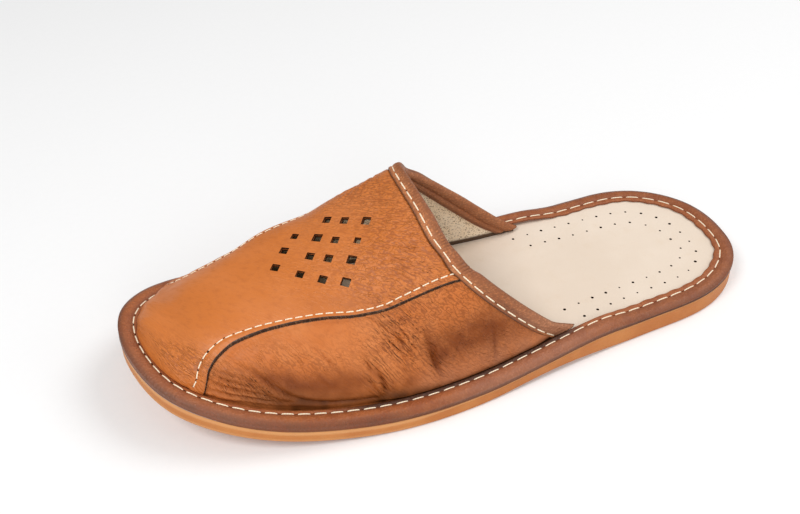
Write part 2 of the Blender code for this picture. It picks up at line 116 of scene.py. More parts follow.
LIP_ROWS = (
    # height, lateral lip, medial lip, binding reach
    (0.0080, 0.663, 0.702, 0.033),
    (0.0180, 0.619, 0.649, 0.033),
    (0.0300, 0.575, 0.602, 0.033),
    (0.0450, 0.522, 0.548, 0.032),
    (0.0520, 0.497, 0.522, 0.030),
    (0.0545, 0.486, 0.512, 0.028),
    (0.0590, 0.475, 0.495, 0.025),
    (0.0635, 0.464, 0.475, 0.024),
    (0.0700, 0.457, 0.460, 0.023),
    (0.0735, 0.451, 0.451, 0.023),
)
THROAT_STATIONS = (0.340, 0.710)
PANEL_MIDDLE = 0.0044
SEAM_ROWS = (
    # station, half width
    (0.072, 0.0342),
    (0.093, 0.0318),
    (0.117, 0.0277),
    (0.148, 0.0256),
    (0.180, 0.0257),
    (0.224, 0.0270),
    (0.272, 0.0294),
    (0.320, 0.0331),
    (0.369, 0.0352),
    (0.470, 0.0354),
)
SEAM_TURN_LIMIT = 0.84
WELT_FALL = (0.692, 0.775)
CUT_OUT_STATION = 0.305
CUT_OUT_MIDDLE = 0.0043
CUT_OUT_ROWS = 4
CUT_OUT_PITCH = 0.0101
CUT_OUT_TURN = 39.5
CUT_OUT_SIDE = 0.0036
CUT_OUT_DEPTH = 0.0120

# ---------------------------------------------------------------- dimensions of the dressing
LINING_DEPTH = 0.0006
SIDE_LIFT = -(PANEL + GAP)
SEAM_START = (0.0240, 0.0300)
SEAM_TABLE_END = 0.165
SEAM_STITCH = (
    # station length, distance from the raw edge, in millimetres
    (24, 3.2),
    (36, 3.0),
    (50, 2.3),
    (70, 1.75),
    (98, 1.75),
    (112, 2.3),
    (126, 2.9),
    (140, 3.2),
)
SEAM_STITCH_MEDIAL = 1.1  # further in on the medial side
# Stitches, in millimetres: pitch, sewn share of it, thread's radius, needle hole's radius
SEAM_SEWING = (4.15, 0.80, 0.27, 0.52)
COLLAR_SEWING = (6.7, 0.82, 0.30, 0.50)
WELT_SEWING = (7.2, 0.78, 0.29, 0.50)
COLLAR_STITCH = 2.2
WELT_SWAY = 0.11
THREAD_DIP = 0.45
# Sizes of mesh cells, in millimetres
CELL = 0.7
VAMP_CELL = 0.62
LINING_CELL = 1.3
COVERED_CELL = 2.5
BODY_START = 0.150 * LENGTH  # the rows round the nose end here
RIDGE_BLEND = 0.10
WELD = 2e-6  # metres within which points are one


# ---------------------------------------------------------------- curves
def smooth(knots, values, at):
    """Monotone cubic curve through the knots, held at its end values."""
    knots = np.asarray(knots, float)
    values = np.asarray(values, float)
    at = np.clip(at, knots[0], knots[-1])
    step = np.diff(knots)
    rise = np.diff(values) / step
    slope = np.zeros(len(knots))
    same = rise[:-1] * rise[1:] > 0
    slope[1:-1][same] = 2.0 / (1.0 / rise[:-1][same] + 1.0 / rise[1:][same])
    slope[0] = rise[0]
    slope[-1] = rise[-1]
    i = np.clip(np.searchsorted(knots, at, side="right") - 1, 0, len(step) - 1)
    t = (at - knots[i]) / step[i]
    return (
        values[i] * (1 + 2 * t) * (1 - t) ** 2
        + slope[i] * step[i] * t * (1 - t) ** 2
        + values[i + 1] * t * t * (3 - 2 * t)
        + slope[i + 1] * step[i] * t * t * (t - 1)
    )


def read(rows, column, at):
    """A column of a table, as a smooth curve over the table's first column."""
    rows = np.array(rows)
    return smooth(rows[:, 0], rows[:, column], at)


def ease(start, end, at):
    """Smooth step from 0 at start to 1 at end."""
    t = np.clip((at - start) / (end - start), 0.0, 1.0)
    return t * t * (3 - 2 * t)


def span(start, full, fading, end, at):
    """Smooth rise from start to full, and smooth fall from fading to end."""
    return ease(start, full, at) * (1 - ease(fading, end, at))


def bell(away, reach):
    """1 in the middle, falling off softly over the reach."""
    return np.exp(-((away / reach) ** 2))


def unit(vectors, least=0.0):
    """The vectors at length 1."""
    return vectors / np.maximum(np.linalg.norm(vectors, axis=-1, keepdims=True), least)


def lengths(line):
    """Length along a polyline at each of its points."""
    steps = np.linalg.norm(np.diff(line, axis=0), axis=1)
    return np.concatenate([[0.0], np.cumsum(steps)])


def at_lengths(where, path, values):
    """Rows of values given at lengths along a path, read at other lengths."""
    return np.stack([np.interp(where, path, column) for column in values.T], 1)


def rounded_shares(count):
    """Shares from 0 to 1, close together at both ends."""
    return (1 - np.cos(np.linspace(0.0, math.pi, count))) / 2


def bilinear(table, i, j, k, m, a, b):
    """Blend of a table's values between its rows i and k and its columns j and m."""
    low = table[i, j] * (1 - b) + table[i, m] * b
    high = table[k, j] * (1 - b) + table[k, m] * b
    return low * (1 - a) + high * a


def lattice_noise(x, y, scale, seed):
    """Smooth value noise of about unit range, over plane coordinates."""
    table = np.random.default_rng(seed).uniform(-1, 1, (64, 64))
    u, v = np.asarray(x) / scale, np.asarray(y) / scale
    i, j = np.floor(u).astype(int), np.floor(v).astype(int)
    a, b = ease(0, 1, u - i), ease(0, 1, v - j)
    return bilinear(table, i % 64, j % 64, (i + 1) % 64, (j + 1) % 64, a, b)


def closed_spline(points, per_span):
    """Periodic cubic spline through the points, as a dense closed polyline."""
    points = np.asarray(points, float)
    count = len(points)
    step = np.linalg.norm(np.roll(points, -1, 0) - points, axis=1)
    before = np.roll(step, 1)
    chord = (np.roll(points, -1, 0) - points) / step[:, None]
    matrix = np.zeros((count, count))
    for i in range(count):
        matrix[i, i - 1] = before[i]
        matrix[i, i] = 2 * (before[i] + step[i])
        matrix[i, (i + 1) % count] = step[i]
    bend = np.linalg.solve(matrix, 6 * (chord - np.roll(chord, 1, 0)))
    curve = []
    for i in range(count):
        j = (i + 1) % count
        t = np.arange(per_span)[:, None] / per_span
        a = 1 - t
        curve.append(
            a * points[i]
            + t * points[j]
            + step[i] ** 2 / 6 * ((a**3 - a) * bend[i] + (t**3 - t) * bend[j])
        )
    return np.vstack(curve)


def bend_through(points, per_span):
    """Open curve through the points, as a dense polyline."""
    points = np.asarray(points, float)
    padded = np.vstack([2 * points[0] - points[1], points, 2 * points[-1] - points[-2]])
    t = np.linspace(0, 1, per_span, endpoint=False)[:, None]
    curve = []
    for a, b, c, d in zip(padded[:-3], padded[1:-2], padded[2:-1], padded[3:]):
        square = (2 * a - 5 * b + 4 * c - d) * t**2
        cube = (3 * b - a - 3 * c + d) * t**3
        curve.append(0.5 * (2 * b + (c - a) * t + square + cube))
    return np.vstack(curve + [points[-1:]])


class Outline:
    """Plan outline of the sole, moved in by an inset."""

    def __init__(self, inset=0.0):
        lateral = [(row[0], row[1]) for row in SOLE_ROWS]
        medial = [(row[0], row[2]) for row in reversed(SOLE_ROWS)]
        knots = [(0.0, TOE_TIP)] + lateral + [(1.0, HEEL_TIP)] + medial
        curve = closed_spline(np.array(knots) * (LENGTH, BALL_WIDTH), 60)
        along = unit(np.roll(curve, -1, 0) - np.roll(curve, 1, 0))
        outward = np.stack([along[:, 1], -along[:, 0]], 1)
        curve = curve - outward * inset
        toe = np.argmin(curve[:, 0])
        curve, outward = np.roll(curve, -toe, 0), np.roll(outward, -toe, 0)
        heel = np.argmax(curve[:, 0])
        self.start, self.end = curve[0, 0], curve[heel, 0]
        self.loop, self.outward = (np.vstack([v, v[:1]]) for v in (curve, outward))
        self.lateral = self.loop[: heel + 1]
        self.medial = self.loop[heel:][::-1]
        self.path = lengths(self.loop)

    def along_side(self, x, line, values):
        """Values at the points of one side, read at x; square roots keep the toe round."""
        depth = np.sqrt(np.clip(x - self.start, 0, None))
        reach = np.maximum.accumulate(np.sqrt(np.clip(line[:, 0] - self.start, 0, None)))
        return np.interp(depth, reach, values)

    def sides(self, x):
        """Lateral and medial y of the outline at x, measured from the toe end of the sole."""
        return [self.along_side(x, line, line[:, 1]) for line in (self.lateral, self.medial)]

    def at(self, path):
        """Points and outward directions at lengths along the outline from the toe."""
        path = np.mod(path, self.path[-1])
        points, outward = (at_lengths(path, self.path, v) for v in (self.loop, self.outward))
        return points, unit(outward)


def underside(x):
    """Height of the outsole's underside at x from the toe."""
    s = np.asarray(x, float) / LENGTH
    toe = np.clip((FOREFOOT_FLAT[0] - s) / FOREFOOT_FLAT[0], 0.0, None)
    arch = span(FOREFOOT_FLAT[1], ARCH_STATION, ARCH_STATION, HEEL_FLAT[0], s)
    heel = np.clip((s - HEEL_FLAT[1]) / (1 - HEEL_FLAT[1]), 0.0, None)
    return TOE_SPRING * toe**TOE_SPRING_POWER + ARCH_RISE * arch + HEEL_LIFT * heel**2


def sole_top(x):
    """Height of the outsole's upper face at x from the toe."""
    s = np.asarray(x, float) / LENGTH
    thickness = TOE_SOLE + (FOREFOOT_SOLE - TOE_SOLE) * ease(0.0, TOE_END, s)
    thickness = thickness + (WAIST_SOLE - FOREFOOT_SOLE) * ease(WAIST_START, WAIST_END, s)
    thickness = thickness + (HEEL_SOLE - WAIST_SOLE) * ease(HEEL_START, HEEL_END, s)
    return underside(x) + thickness


UPPER_PLAN = Outline(UPPER_INSET)
UPPER_TIP = UPPER_PLAN.start


def upper_point(x, turn):
    """Point of the upper's outer face."""
    rows = np.array(UPPER_ROWS)
    root = np.sqrt(np.concatenate([[0.0], rows[:, 0] - UPPER_TIP / LENGTH]))
    reach = np.sqrt(np.clip(x / LENGTH - UPPER_TIP / LENGTH, 0.0, None))
    height = smooth(root, np.concatenate([[0.0], rows[:, 1]]), reach) * INSTEP_HEIGHT
    shift, lateral_full, medial_full = (smooth(root[1:], rows[:, k], reach) for k in (2, 3, 4))
    lateral, medial = UPPER_PLAN.sides(x)
    half = (medial - lateral) / 2
    ridge = (medial + lateral) / 2 + half * shift
    angle = turn * math.pi / 2
    wide = np.abs(np.sin(angle))
    y = np.where(
        turn < 0,
        ridge - (ridge - lateral) * wide ** (2 / lateral_full),
        ridge + (medial - ridge) * wide ** (2 / medial_full),
    )
    rise = np.clip(np.cos(angle), 0.0, None) ** ARCH_POWER
    return np.stack(np.broadcast_arrays(x, y, sole_top(x) + UPPER_BASE + height * rise), -1)


TURNS = np.linspace(-1.0, 1.0, 2001)


def turn_at(x, y):
    """Turn of the upper's outer face that lies above (x, y)."""
    return float(np.interp(y, upper_point(np.full_like(TURNS, x), TURNS)[:, 1], TURNS))


def seam_turns():
    """Stations, and the turn of the front panel's lateral and medial edge at each."""
    xs = np.linspace(UPPER_TIP, SEAM_ROWS[-1][0] * LENGTH, 120)
    half = read(SEAM_ROWS, 1, xs / LENGTH)
    table = [xs]
    for side in (-1, 1):
        turns = [turn_at(x, PANEL_MIDDLE + side * wide) for x, wide in zip(xs, half)]
        table.append(np.clip(turns, -SEAM_TURN_LIMIT, SEAM_TURN_LIMIT))
    return table


def placed(points):
    """From station coordinates to the frame of the slipper."""
    return np.asarray(points) - (LENGTH / 2, 0.0, 0.0)


# ---------------------------------------------------------------- coordinates laid on the upper
TABLE_TURNS = np.linspace(-1.0, 1.0, 801)
TABLE_END = 0.712 * LENGTH
TABLE_X = UPPER_TIP + (TABLE_END - UPPER_TIP) * np.linspace(0.0, 1.0, 361) ** 2
ACROSS = np.linspace(-1.0, 2.0, 241)


def lay_out_skin():
    """At every station: arc length at each turn, turn at each share across, seams' arcs."""
    seams = seam_turns()
    grid = upper_point(TABLE_X[:, None], TABLE_TURNS[None, :])
    arc = np.array([lengths(row) for row in grid])
    rise = ease(*SEAM_START, TABLE_X)
    lateral = -1 + (np.interp(TABLE_X, seams[0], seams[1]) + 1) * rise
    medial = 1 - (1 - np.interp(TABLE_X, seams[0], seams[2])) * rise
    turns, edges = [], []
    for i in range(len(TABLE_X)):
        low, high = np.interp((lateral[i], medial[i]), TABLE_TURNS, arc[i])
        marks = np.interp(ACROSS, (-1, 0, 1, 2), (0.0, low, high, arc[i, -1]))
        turns.append(np.interp(marks, arc[i], TABLE_TURNS))
        edges.append((low, high))
    return arc, np.array(turns), np.array(edges)


def table_row(x):
    """Row of the tables, in fractions, at x: their stations are spaced as squares."""
    share = np.sqrt(np.clip((x - UPPER_TIP) / (TABLE_END - UPPER_TIP), 0, 1))
    return share * (len(TABLE_X) - 1)


def read_grid(table, x, at, start, end):
    """A table's value at x, and at a value that runs from start to end across it."""
    x, at = np.broadcast_arrays(np.asarray(x, float), np.asarray(at, float))
    rows, columns = table_row(x), (at - start) / (end - start) * (table.shape[1] - 1)
    i = np.clip(rows.astype(int), 0, table.shape[0] - 2)
    j = np.clip(columns.astype(int), 0, table.shape[1] - 2)
    a, b = np.clip(rows - i, 0, 1), np.clip(columns - j, 0, 1)
    return bilinear(table, i, j, i + 1, j + 1, a, b)


ARC, SHARE_TURNS, SEAM_ARCS = lay_out_skin()


def turn_of(x, share):
    """Turn at a share across."""
    return read_grid(SHARE_TURNS, x, share, -1, 2)


def arc_of(x, turn):
    """Arc length across the upper from the lateral welt, in metres."""
    return read_grid(ARC, x, turn, -1, 1)


def seam_arc(x, side):
    """Arc length from the lateral welt to the lateral (0) or medial (1) seam."""
    return np.interp(x, TABLE_X, SEAM_ARCS[:, side])


def girth(x):
    """Arc length across the upper from welt to welt."""
    return np.interp(x, TABLE_X, ARC[:, -1])


def turn_from_arc(x, arc):
    """Turn at an arc length across from the lateral welt, for matched lists."""
    rows = table_row(x)
    i = np.clip(rows.astype(int), 0, len(TABLE_X) - 2)
    a = (rows - i)[:, None]
    marks = ARC[i] * (1 - a) + ARC[i + 1] * a
    return np.array([np.interp(at, line, TABLE_TURNS) for at, line in zip(arc, marks)])


def lip_stations(height, reach_share):
    """Lateral and medial x of the throat at a height: a reach share of 0 is its lip, and 1
    the binding's front edge.
    """
    rows = np.array(LIP_ROWS)
    reach = reach_share * rows[:, 3]
    return [smooth(rows[:, 0], rows[:, k] - reach, height) * LENGTH for k in (1, 2)]


def throat(share_across, reach_share):
    """Where each share across meets the throat, as x."""
    across = np.asarray(share_across, float)[:, None]
    xs = np.linspace(*THROAT_STATIONS, 301)[None, :] * LENGTH
    turns = turn_of(xs, across)
    height = upper_point(np.broadcast_to(xs, turns.shape), turns)[..., 2]
    lateral, medial = lip_stations(height, reach_share)
    over = xs - (lateral + (medial - lateral) * ease(-RIDGE_BLEND, RIDGE_BLEND, turns))
    k = np.argmax(over > 0, axis=1)
    r = np.arange(len(k))
    near, far = over[r, k - 1], over[r, k]
    return xs[0, k - 1] + (xs[0, k] - xs[0, k - 1]) * near / (near - far)


# ---------------------------------------------------------------- relief of worn leather
CREASES = (
    # depth, half width, side ridges, points (x, g) in millimetres
    (0.95, 2.6, 0.45, ((117.2, 33), (118.2, 26), (119.6, 17.5), (121.2, 10.0), (122.0, 2.0))),
    (0.80, 2.4, 0.40, ((148.6, 26), (148.0, 19.0), (148.2, 9.5), (149.2, 2.0))),
    (0.85, 2.2, 0.45, ((91.0, 24), (93.4, 17.4), (97.0, 12.2), (99.4, 7.0), (101.0, 2.2))),
    (0.58, 0.75, 0.6, ((96.7, 38.8), (102.0, 32.2), (107.4, 26.6), (113.6, 20.9))),
    (0.54, 0.75, 0.6, ((98.4, 33.2), (101.7, 28.2), (105.4, 22.3), (109.4, 14.3))),
    (0.30, 0.75, 0.6, ((103.4, 40.1), (109.1, 34.5), (115.3, 29.4))),
    (0.50, 0.75, 0.6, ((101.5, 20.4), (105.4, 15.4), (109.1, 11.6))),
    (0.50, 0.75, 0.6, ((100.9, 38.0), (105.7, 32.8), (110.2, 26.4), (113.6, 18.2))),
    (0.44, 0.75, 0.6, ((103.2, 34.3), (106.3, 27.7), (110.2, 19.8), (111.9, 12.8))),
    (0.22, 0.75, 0.6, ((102.0, 38.8), (110.5, 35.0), (116.2, 28.9), (119.3, 22.3))),
    (0.35, 0.75, 0.6, ((66.7, 31.8), (72.1, 27.2), (77.2, 21.4), (82.0, 13.7))),
    (0.25, 0.75, 0.6, ((61.0, 29.8), (64.7, 23.8), (67.3, 17.8))),
    (0.35, 0.75, 0.6, ((74.6, 25.5), (78.0, 19.2), (80.3, 14.9))),
    (0.30, 0.75, 0.6, ((67.5, 19.7), (71.5, 15.5), (76.3, 11.6))),
    (0.80, 0.80, 0.6, ((91.3, 20.5), (94.4, 13.2), (97.8, 5.2))),
    (1.00, 0.85, 0.6, ((94.2, 19.4), (96.7, 11.5), (98.6, 3.4))),
    (0.55, 0.70, 0.6, ((89.3, 15.6), (92.7, 8.8), (96.9, 2.8))),
    (0.55, 0.80, 0.5, ((117.2, 26.7), (119.6, 18.6), (121.0, 10.9), (122.4, 2.6))),
    (0.40, 0.75, 0.6, ((114.9, 25.0), (119.3, 16.3), (120.8, 7.8))),
    (0.40, 0.75, 0.6, ((120.4, 23.7), (120.4, 16.0), (122.4, 6.0))),
    (0.45, 0.80, 0.6, ((126.7, 22.6), (130.9, 14.3), (134.5, 5.3))),
    (0.75, 0.70, 0.5, ((148.7, 20.5), (149.2, 11.4), (148.4, 2.7))),
    (0.40, 0.70, 0.5, ((150.4, 18.1), (150.9, 7.3))),
    (0.90, 0.90, 0.5, ((27, 7.6), (37.3, 7.2), (46.6, 6.8), (53.7, 4.9), (61.9, 3.9))),
    (0.75, 0.75, 0.5, ((27.1, 4.2), (37.9, 4.2), (47.5, 3.9), (57.9, 3.0))),
    (0.80, 0.90, 0.5, ((30.0, 10.6), (38.0, 10.2), (46.5, 9.0), (53.0, 7.2))),
    (0.60, 0.90, 0.5, ((31.5, 13.6), (39.7, 12.6), (49.5, 10.2))),
    (
        1.30,
        1.3,
        0.3,
        ((40, 19), (48, 15.2), (54.5, 10.1), (61.9, 5.7), (72.6, 3.1), (87, 2.3), (99, 3.1)),
    ),
    (0.50, 0.80, 0.5, ((118.7, 63.6), (124.4, 61.1), (127.9, 56.7))),
    (0.45, 0.80, 0.5, ((106.4, 60.9), (113.3, 60.5), (118.1, 57.3), (121.4, 54.0))),
    (0.45, 0.80, 0.5, ((107.8, 56.2), (113.9, 51.5), (117.7, 46.6))),
    (0.40, 0.80, 0.5, ((114.9, 67.4), (119.8, 63.8), (123.0, 61.6))),
    (0.40, 0.80, 0.5, ((109.8, 57.1), (115.9, 55.6), (122.8, 51.6))),
)
BULGES = (
    # x, g, reach along, reach across, height
    (72, 10.5, 24, 6.0, 2.6),
    (58, 19, 12, 7.0, 0.9),
    (106, 13, 6, 8, 1.5),
    (130, 12, 6, 8, 1.0),
    (139, 22, 7, 8, -1.2),
    (160, 12, 8, 8, 0.9),
    (66, 27, 24, 8, 0.8),
    (106, 31, 10, 9, 0.6),
    (132, 6.0, 20, 4.0, 0.7),
    (160, 6.0, 16, 4.5, 0.6),
)
CRINKLES = (
    # x, g, reach along, reach across, strength
    (18, 10, 6, 6, 1.0),
    (25, 16, 8, 8, 0.8),
    (42, 11, 16, 9, 1.0),
    (58, 25, 12, 9, 0.55),
    (74, 20, 14, 7, 0.7),
    (104, 28, 15, 13, 0.6),
    (122, 26, 14, 15, 0.8),
    (112, 52, 16, 12, 0.9),
    (130, 60, 20, 24, 1.0),
    (142, 24, 20, 20, 0.55),
    (154, 14, 22, 15, 0.65),
    (92, 60, 22, 14, 0.45),
    (118, 82, 16, 24, 0.42),
    (122, 122, 26, 26, 0.5),
)
LONG_WRINKLES = (
    (106, 27, 11, 15, 1.0),
    (95, 12, 7, 9, 0.8),
    (122, 12, 7, 9, 0.8),
    (44, 8, 14, 6, 0.6),
    (122, 56, 12, 14, 0.35),
)
# Patches of painted shade in the leather's hollows
HOLLOWS = (
    # x, g, reach along, reach across, strength
    (42, 11, 12, 6.0, 0.45),
    (56, 14, 8, 5.0, 0.72),
    (68, 12, 10, 5.5, 0.62),
    (80, 12, 9, 6.0, 0.76),
    (88, 13, 8, 4.5, 0.35),
    (98, 8, 6, 5.0, 0.45),
    (108, 8, 5, 5.0, 0.55),
    (118, 22, 6, 9, 0.25),
    (122, 16, 5, 6, 0.50),
    (136, 19.5, 8, 7, 0.60),
    (127, 22, 9, 8, 0.42),
    (149, 22, 9, 9, 0.55),
    (158, 14, 12, 10, 0.50),
    (152, 33, 9, 6, 0.20),
    (140, 15, 20, 12, 0.24),
    (68, 46, 14, 6, 0.10),
    (98, 44.5, 12, 4.5, 0.22),
    (82, 46.5, 12, 4.0, 0.12),
)
# Painted shade low on the lateral wall, by the rand
LOW_DARK = (
    # x, reach up the wall, strength
    (20, 2.5, 0.0),
    (34, 5.0, 0.25),
    (44, 8.0, 0.45),
    (54, 11.0, 0.70),
    (62, 10.5, 0.85),
    (72, 8.8, 0.72),
    (80, 8.2, 0.62),
    (88, 7.6, 0.66),
    (97, 6.4, 0.88),
    (106, 5.2, 0.95),
    (118, 3.6, 0.85),
    (132, 2.4, 0.85),
    (150, 2.8, 0.90),
    (200, 2.6, 0.90),
)
TOE_BULGE = 1.8
TOE_BULGE_HEIGHT = 7.0
TOE_BULGE_MEDIAL = 0.6  # share of it missing on the medial side
TOE_BULGE_END = (30.0, 44.0)
OVERHANG = 1.9
OVERHANG_HEIGHT = 4.5
OVERHANG_SPAN = (88, 108, 168, 186)
MEDIAL_BULGES = (
    # x, length from the medial foot, reach along, reach across, height
    (26, 8, 10, 7, 1.0),
    (46, 7, 14, 6, 1.2),
    (72, 9, 20, 7, 1.2),
    (120, 9, 30, 7, 0.8),
    (68, 40, 12, 6, 1.25),
    (88, 50, 8, 10, -1.2),
)
WAVES = ((0.30, 11.0, 3), (0.14, 5.0, 4))  # height, length, seed of the slack leather
WALL_MIDDLE = 16  # where the waves are strongest, in millimetres from the rand
FINE_CRINKLE = 0.16
MEDIAL_SHARE = 0.8  # depth of the creases on the medial side
FAR_SHIFT = 6  # the medial side's creases lie this much nearer the heel


def nearest(line, x, g):
    """Distance to a polyline, the length along it of the nearest point, and its length."""
    path = lengths(line)
    best = np.full(np.shape(x), 1e9)
    where = np.zeros(np.shape(x))
    for k in range(len(line) - 1):
        step = line[k + 1] - line[k]
        t = ((x - line[k, 0]) * step[0] + (g - line[k, 1]) * step[1]) / (step @ step)
        t = np.clip(t, 0, 1)
        gap = np.hypot(x - line[k, 0] - t * step[0], g - line[k, 1] - t * step[1])
        closer = gap < best
        best[closer] = gap[closer]
        where[closer] = (path[k] + t * (path[k + 1] - path[k]))[closer]
    return best, where, path[-1]


def crease_relief(x, g):
    """Troughs with soft ridges beside them, tapering to nothing at their ends."""
    relief = np.zeros(np.shape(x))
    for depth, half, ridge, points in CREASES:
        line = bend_through(points, 8)
        low, high = line.min(0) - 4 * half, line.max(0) + 4 * half
        near = (x > low[0]) & (x < high[0]) & (g > low[1]) & (g < high[1])
        wander = 0.5 * half * lattice_noise(x[near], g[near], 5.0, 6)
        best, where, total = nearest(line, x[near] + wander, g[near])
        share = where / total
        taper = np.clip(4 * share * (1 - share), 0, 1) ** 0.6
        trough = -np.exp(-((best / half) ** 1.5))
        relief[near] += depth * taper * (trough + ridge * bell(best - 2 * half, half))
    return relief


def mound(x, g, rows):
    """Sum of soft mounds from rows of x, g, reach along, reach across, height."""
    total = np.zeros(np.shape(x))
    for mid_x, mid_g, along, across, height in rows:
        total += height * np.exp(-(((x - mid_x) / along) ** 2) - ((g - mid_g) / across) ** 2)
    return total


def far_side(x, g):
    """Where a point lies in the tables if they are read for the medial side."""
    return x + FAR_SHIFT, girth(x * MM) / MM - g


def crinkle_mask(x, g):
    """Where the leather is finely crinkled, 0 to 1."""
    return np.clip(mound(x, g, CRINKLES), 0, 1)


def stitch_offset(x, side):
    """How far inside the panel's raw edge its stitches lie, in millimetres."""
    return read(SEAM_STITCH, 1, x) + side * SEAM_STITCH_MEDIAL * ease(36, 60, x)


def seam_line(side, inside=0.0):
    """The panel's raw edge in skin coordinates of its own side, or its line of stitches."""
    x = np.linspace(SEAM_START[0], SEAM_TABLE_END, 400)
    g = seam_arc(x, side) / MM
    if side:
        g = girth(x) / MM - g
    line = np.stack([x / MM, g], 1)
    along = unit(np.gradient(line, axis=0))
    window = np.full(13, 1 / 13)
    along = [np.convolve(np.pad(part, 6, "edge"), window, "valid") for part in along.T]
    along = unit(np.stack(along, 1))
    away = inside * stitch_offset(line[:, 0], side)[:, None]
    return line + away * np.stack([-along[:, 1], along[:, 0]], 1)


SEAM_LINES = [seam_line(side)[::6] for side in (0, 1)]


STITCH_VALLEY = (0.24, 0.7)  # depth and reach in millimetres
EDGE_SWELL = 0.16  # of the strip between the stitches and the raw edge


def seam_stitch_relief(x, g):
    """Valley along the seam's stitches, drawn in a little at each needle hole."""
    relief = np.zeros(np.shape(x))
    for side, line in enumerate(SEAM_LINES):
        own = girth(x * MM) / MM - g if side else g
        near = (own < line[:, 1].max() + 9) & (x > line[0, 0] - 9)
        inside, where, _ = nearest(line, x[near], own[near])
        pull = 1 + 0.5 * np.cos(math.tau * where / SEAM_SEWING[0])
        stitches = stitch_offset(x[near], side)
        valley = STITCH_VALLEY[0] * pull * bell(inside - stitches, STITCH_VALLEY[1])
        relief[near] += EDGE_SWELL * bell(inside - stitches / 2, stitches / 3) - valley
    return relief


def leather_relief(x, g, z):
    """Height of the worn leather over the smooth last, in millimetres, at the last's z."""
    far_x, mirror = far_side(x, g)
    height = (z - sole_top(x * MM) - UPPER_BASE) / MM
    lateral, medial = lip_stations(z, 1)
    collar_front = np.where(mirror < g, medial, lateral) / MM
    calm = ease(0.3, 2.6, g) * ease(0.3, 2.6, mirror)
    calm = calm * (1 - 0.9 * ease(-9.0, -1.0, x - collar_front))
    wave = sum(high * lattice_noise(x, g, long, seed) for high, long, seed in WAVES)
    walls = [bell(away - WALL_MIDDLE, WALL_MIDDLE) for away in (g, mirror)]
    wave = wave * (0.15 + sum(walls))
    along, aside = 0.64 * x - 0.77 * g, 0.77 * x + 0.64 * g
    fine = FINE_CRINKLE * crinkle_mask(x, g) * lattice_noise(along * 0.4, aside, 1.5, 5)
    far = MEDIAL_SHARE * crease_relief(far_x, mirror) * (mirror < g)
    relief = crease_relief(x, g) + mound(x, g, BULGES) + mound(x, mirror, MEDIAL_BULGES)
    toe = TOE_BULGE * ease(0.0, 2.2, height) * bell(height, TOE_BULGE_HEIGHT)
    toe = toe * (1 - TOE_BULGE_MEDIAL * ease(0.0, 16.0, g - mirror))
    toe = toe * (1 - ease(*TOE_BULGE_END, x))
    over = OVERHANG * ease(0.0, 1.3, height) * bell(height, OVERHANG_HEIGHT) * (g < mirror)
    toe = toe + over * span(*OVERHANG_SPAN, x)
    return calm * (relief + far + wave + fine) + toe + seam_stitch_relief(x, g)


CREASE_FULL = 2.8  # depth at which a crease's painted shade would be full, in millimetres
CREASE_DARKEST = 0.42


def hollow_mask(x, g):
    """Painted shade of the leather: in its hollows, its creases and low on the wall."""
    far_x, mirror = far_side(x, g)
    near, far = (-crease_relief(*at) / CREASE_FULL for at in ((x, g), (far_x, mirror)))
    crease = np.clip(near, 0, CREASE_DARKEST)
    crease = crease + np.clip(far, 0, CREASE_DARKEST) * (mirror < g)
    patch = mound(x, g, HOLLOWS) + 0.7 * mound(far_x, mirror, HOLLOWS)
    patch = patch * (1 + 0.25 * lattice_noise(x, g, 4.0, 9))
    low = 0.7 * bell(mirror, 2.2) * ease(26, 40, x)
    return np.clip(patch + crease + low, 0, 1)


def low_shade(x, g):
    """How much painted shade the lateral wall has near the rand, and how much painted sheen low
    on its back part.
    """
    reach, strength = read(LOW_DARK, 1, x), read(LOW_DARK, 2, x)
    dark = strength * np.exp(-((g / reach) ** 3)) * (1 + 0.2 * lattice_noise(x, g, 3.0, 12))
    painted_sheen = ease(102, 122, x) * bell(g, 10.0) * (1 + 0.3 * lattice_noise(x, g, 6.0, 13))
    return np.clip(dark, 0, 1), np.clip(0.8 * painted_sheen, 0, 1)


# ---------------------------------------------------------------- the upper as a fine grid
def row_lengths(end, cell):
    """Distances from the toe tip, rising as squares round the nose and then evenly."""
    square = 0.036 * MM * (cell / 0.8) ** 2
    nose = [square * n * n for n in range(int(11 * 0.8 / cell) + 1)]
    count = max(2, int(round((end - nose[-1]) / (cell * MM))))
    return np.concatenate([nose, nose[-1] + (end - nose[-1]) * np.arange(1, count + 1) / count])


def grid_normals(grid):
    """Outward directions of a grid, from the differences of its neighbours."""
    along = np.gradient(grid, axis=0)
    across = np.gradient(grid, axis=1)
    normal = np.cross(along, across)
    size = np.linalg.norm(normal, axis=2, keepdims=True)
    normal = normal / np.where(size > 1e-14, size, 1.0)
    normal[0] = (-1.0, 0.0, 0.0)
    return normal


class Skin:
    """Points of the upper's outer face on a grid, with normals and skin coordinates."""

    def __init__(self, across, reach_share, cell=CELL, tail=()):
        nose = UPPER_TIP + row_lengths(BODY_START - UPPER_TIP, cell)
        front = throat(across, reach_share)
        count = int(round((np.median(front) - BODY_START) / (cell * MM)))
        rows = [np.full(len(across), x) for x in nose]
        rows += [BODY_START + (front - BODY_START) * k / count for k in range(1, count + 1)]
        rows += [throat(across, share) for share in tail]
        self.x = np.array(rows)
        self.turn = turn_of(self.x, np.broadcast_to(across, self.x.shape))
        self.g = arc_of(self.x, self.turn) / MM
        self.points = upper_point(self.x, self.turn)
        self.normals = grid_normals(self.points)

    def lifted(self, lift):
        """The grid moved along its normals, relief included."""
        height = leather_relief(self.x / MM, self.g, self.points[..., 2]) * MM + lift
        return self.points + self.normals * np.asarray(height)[..., None]


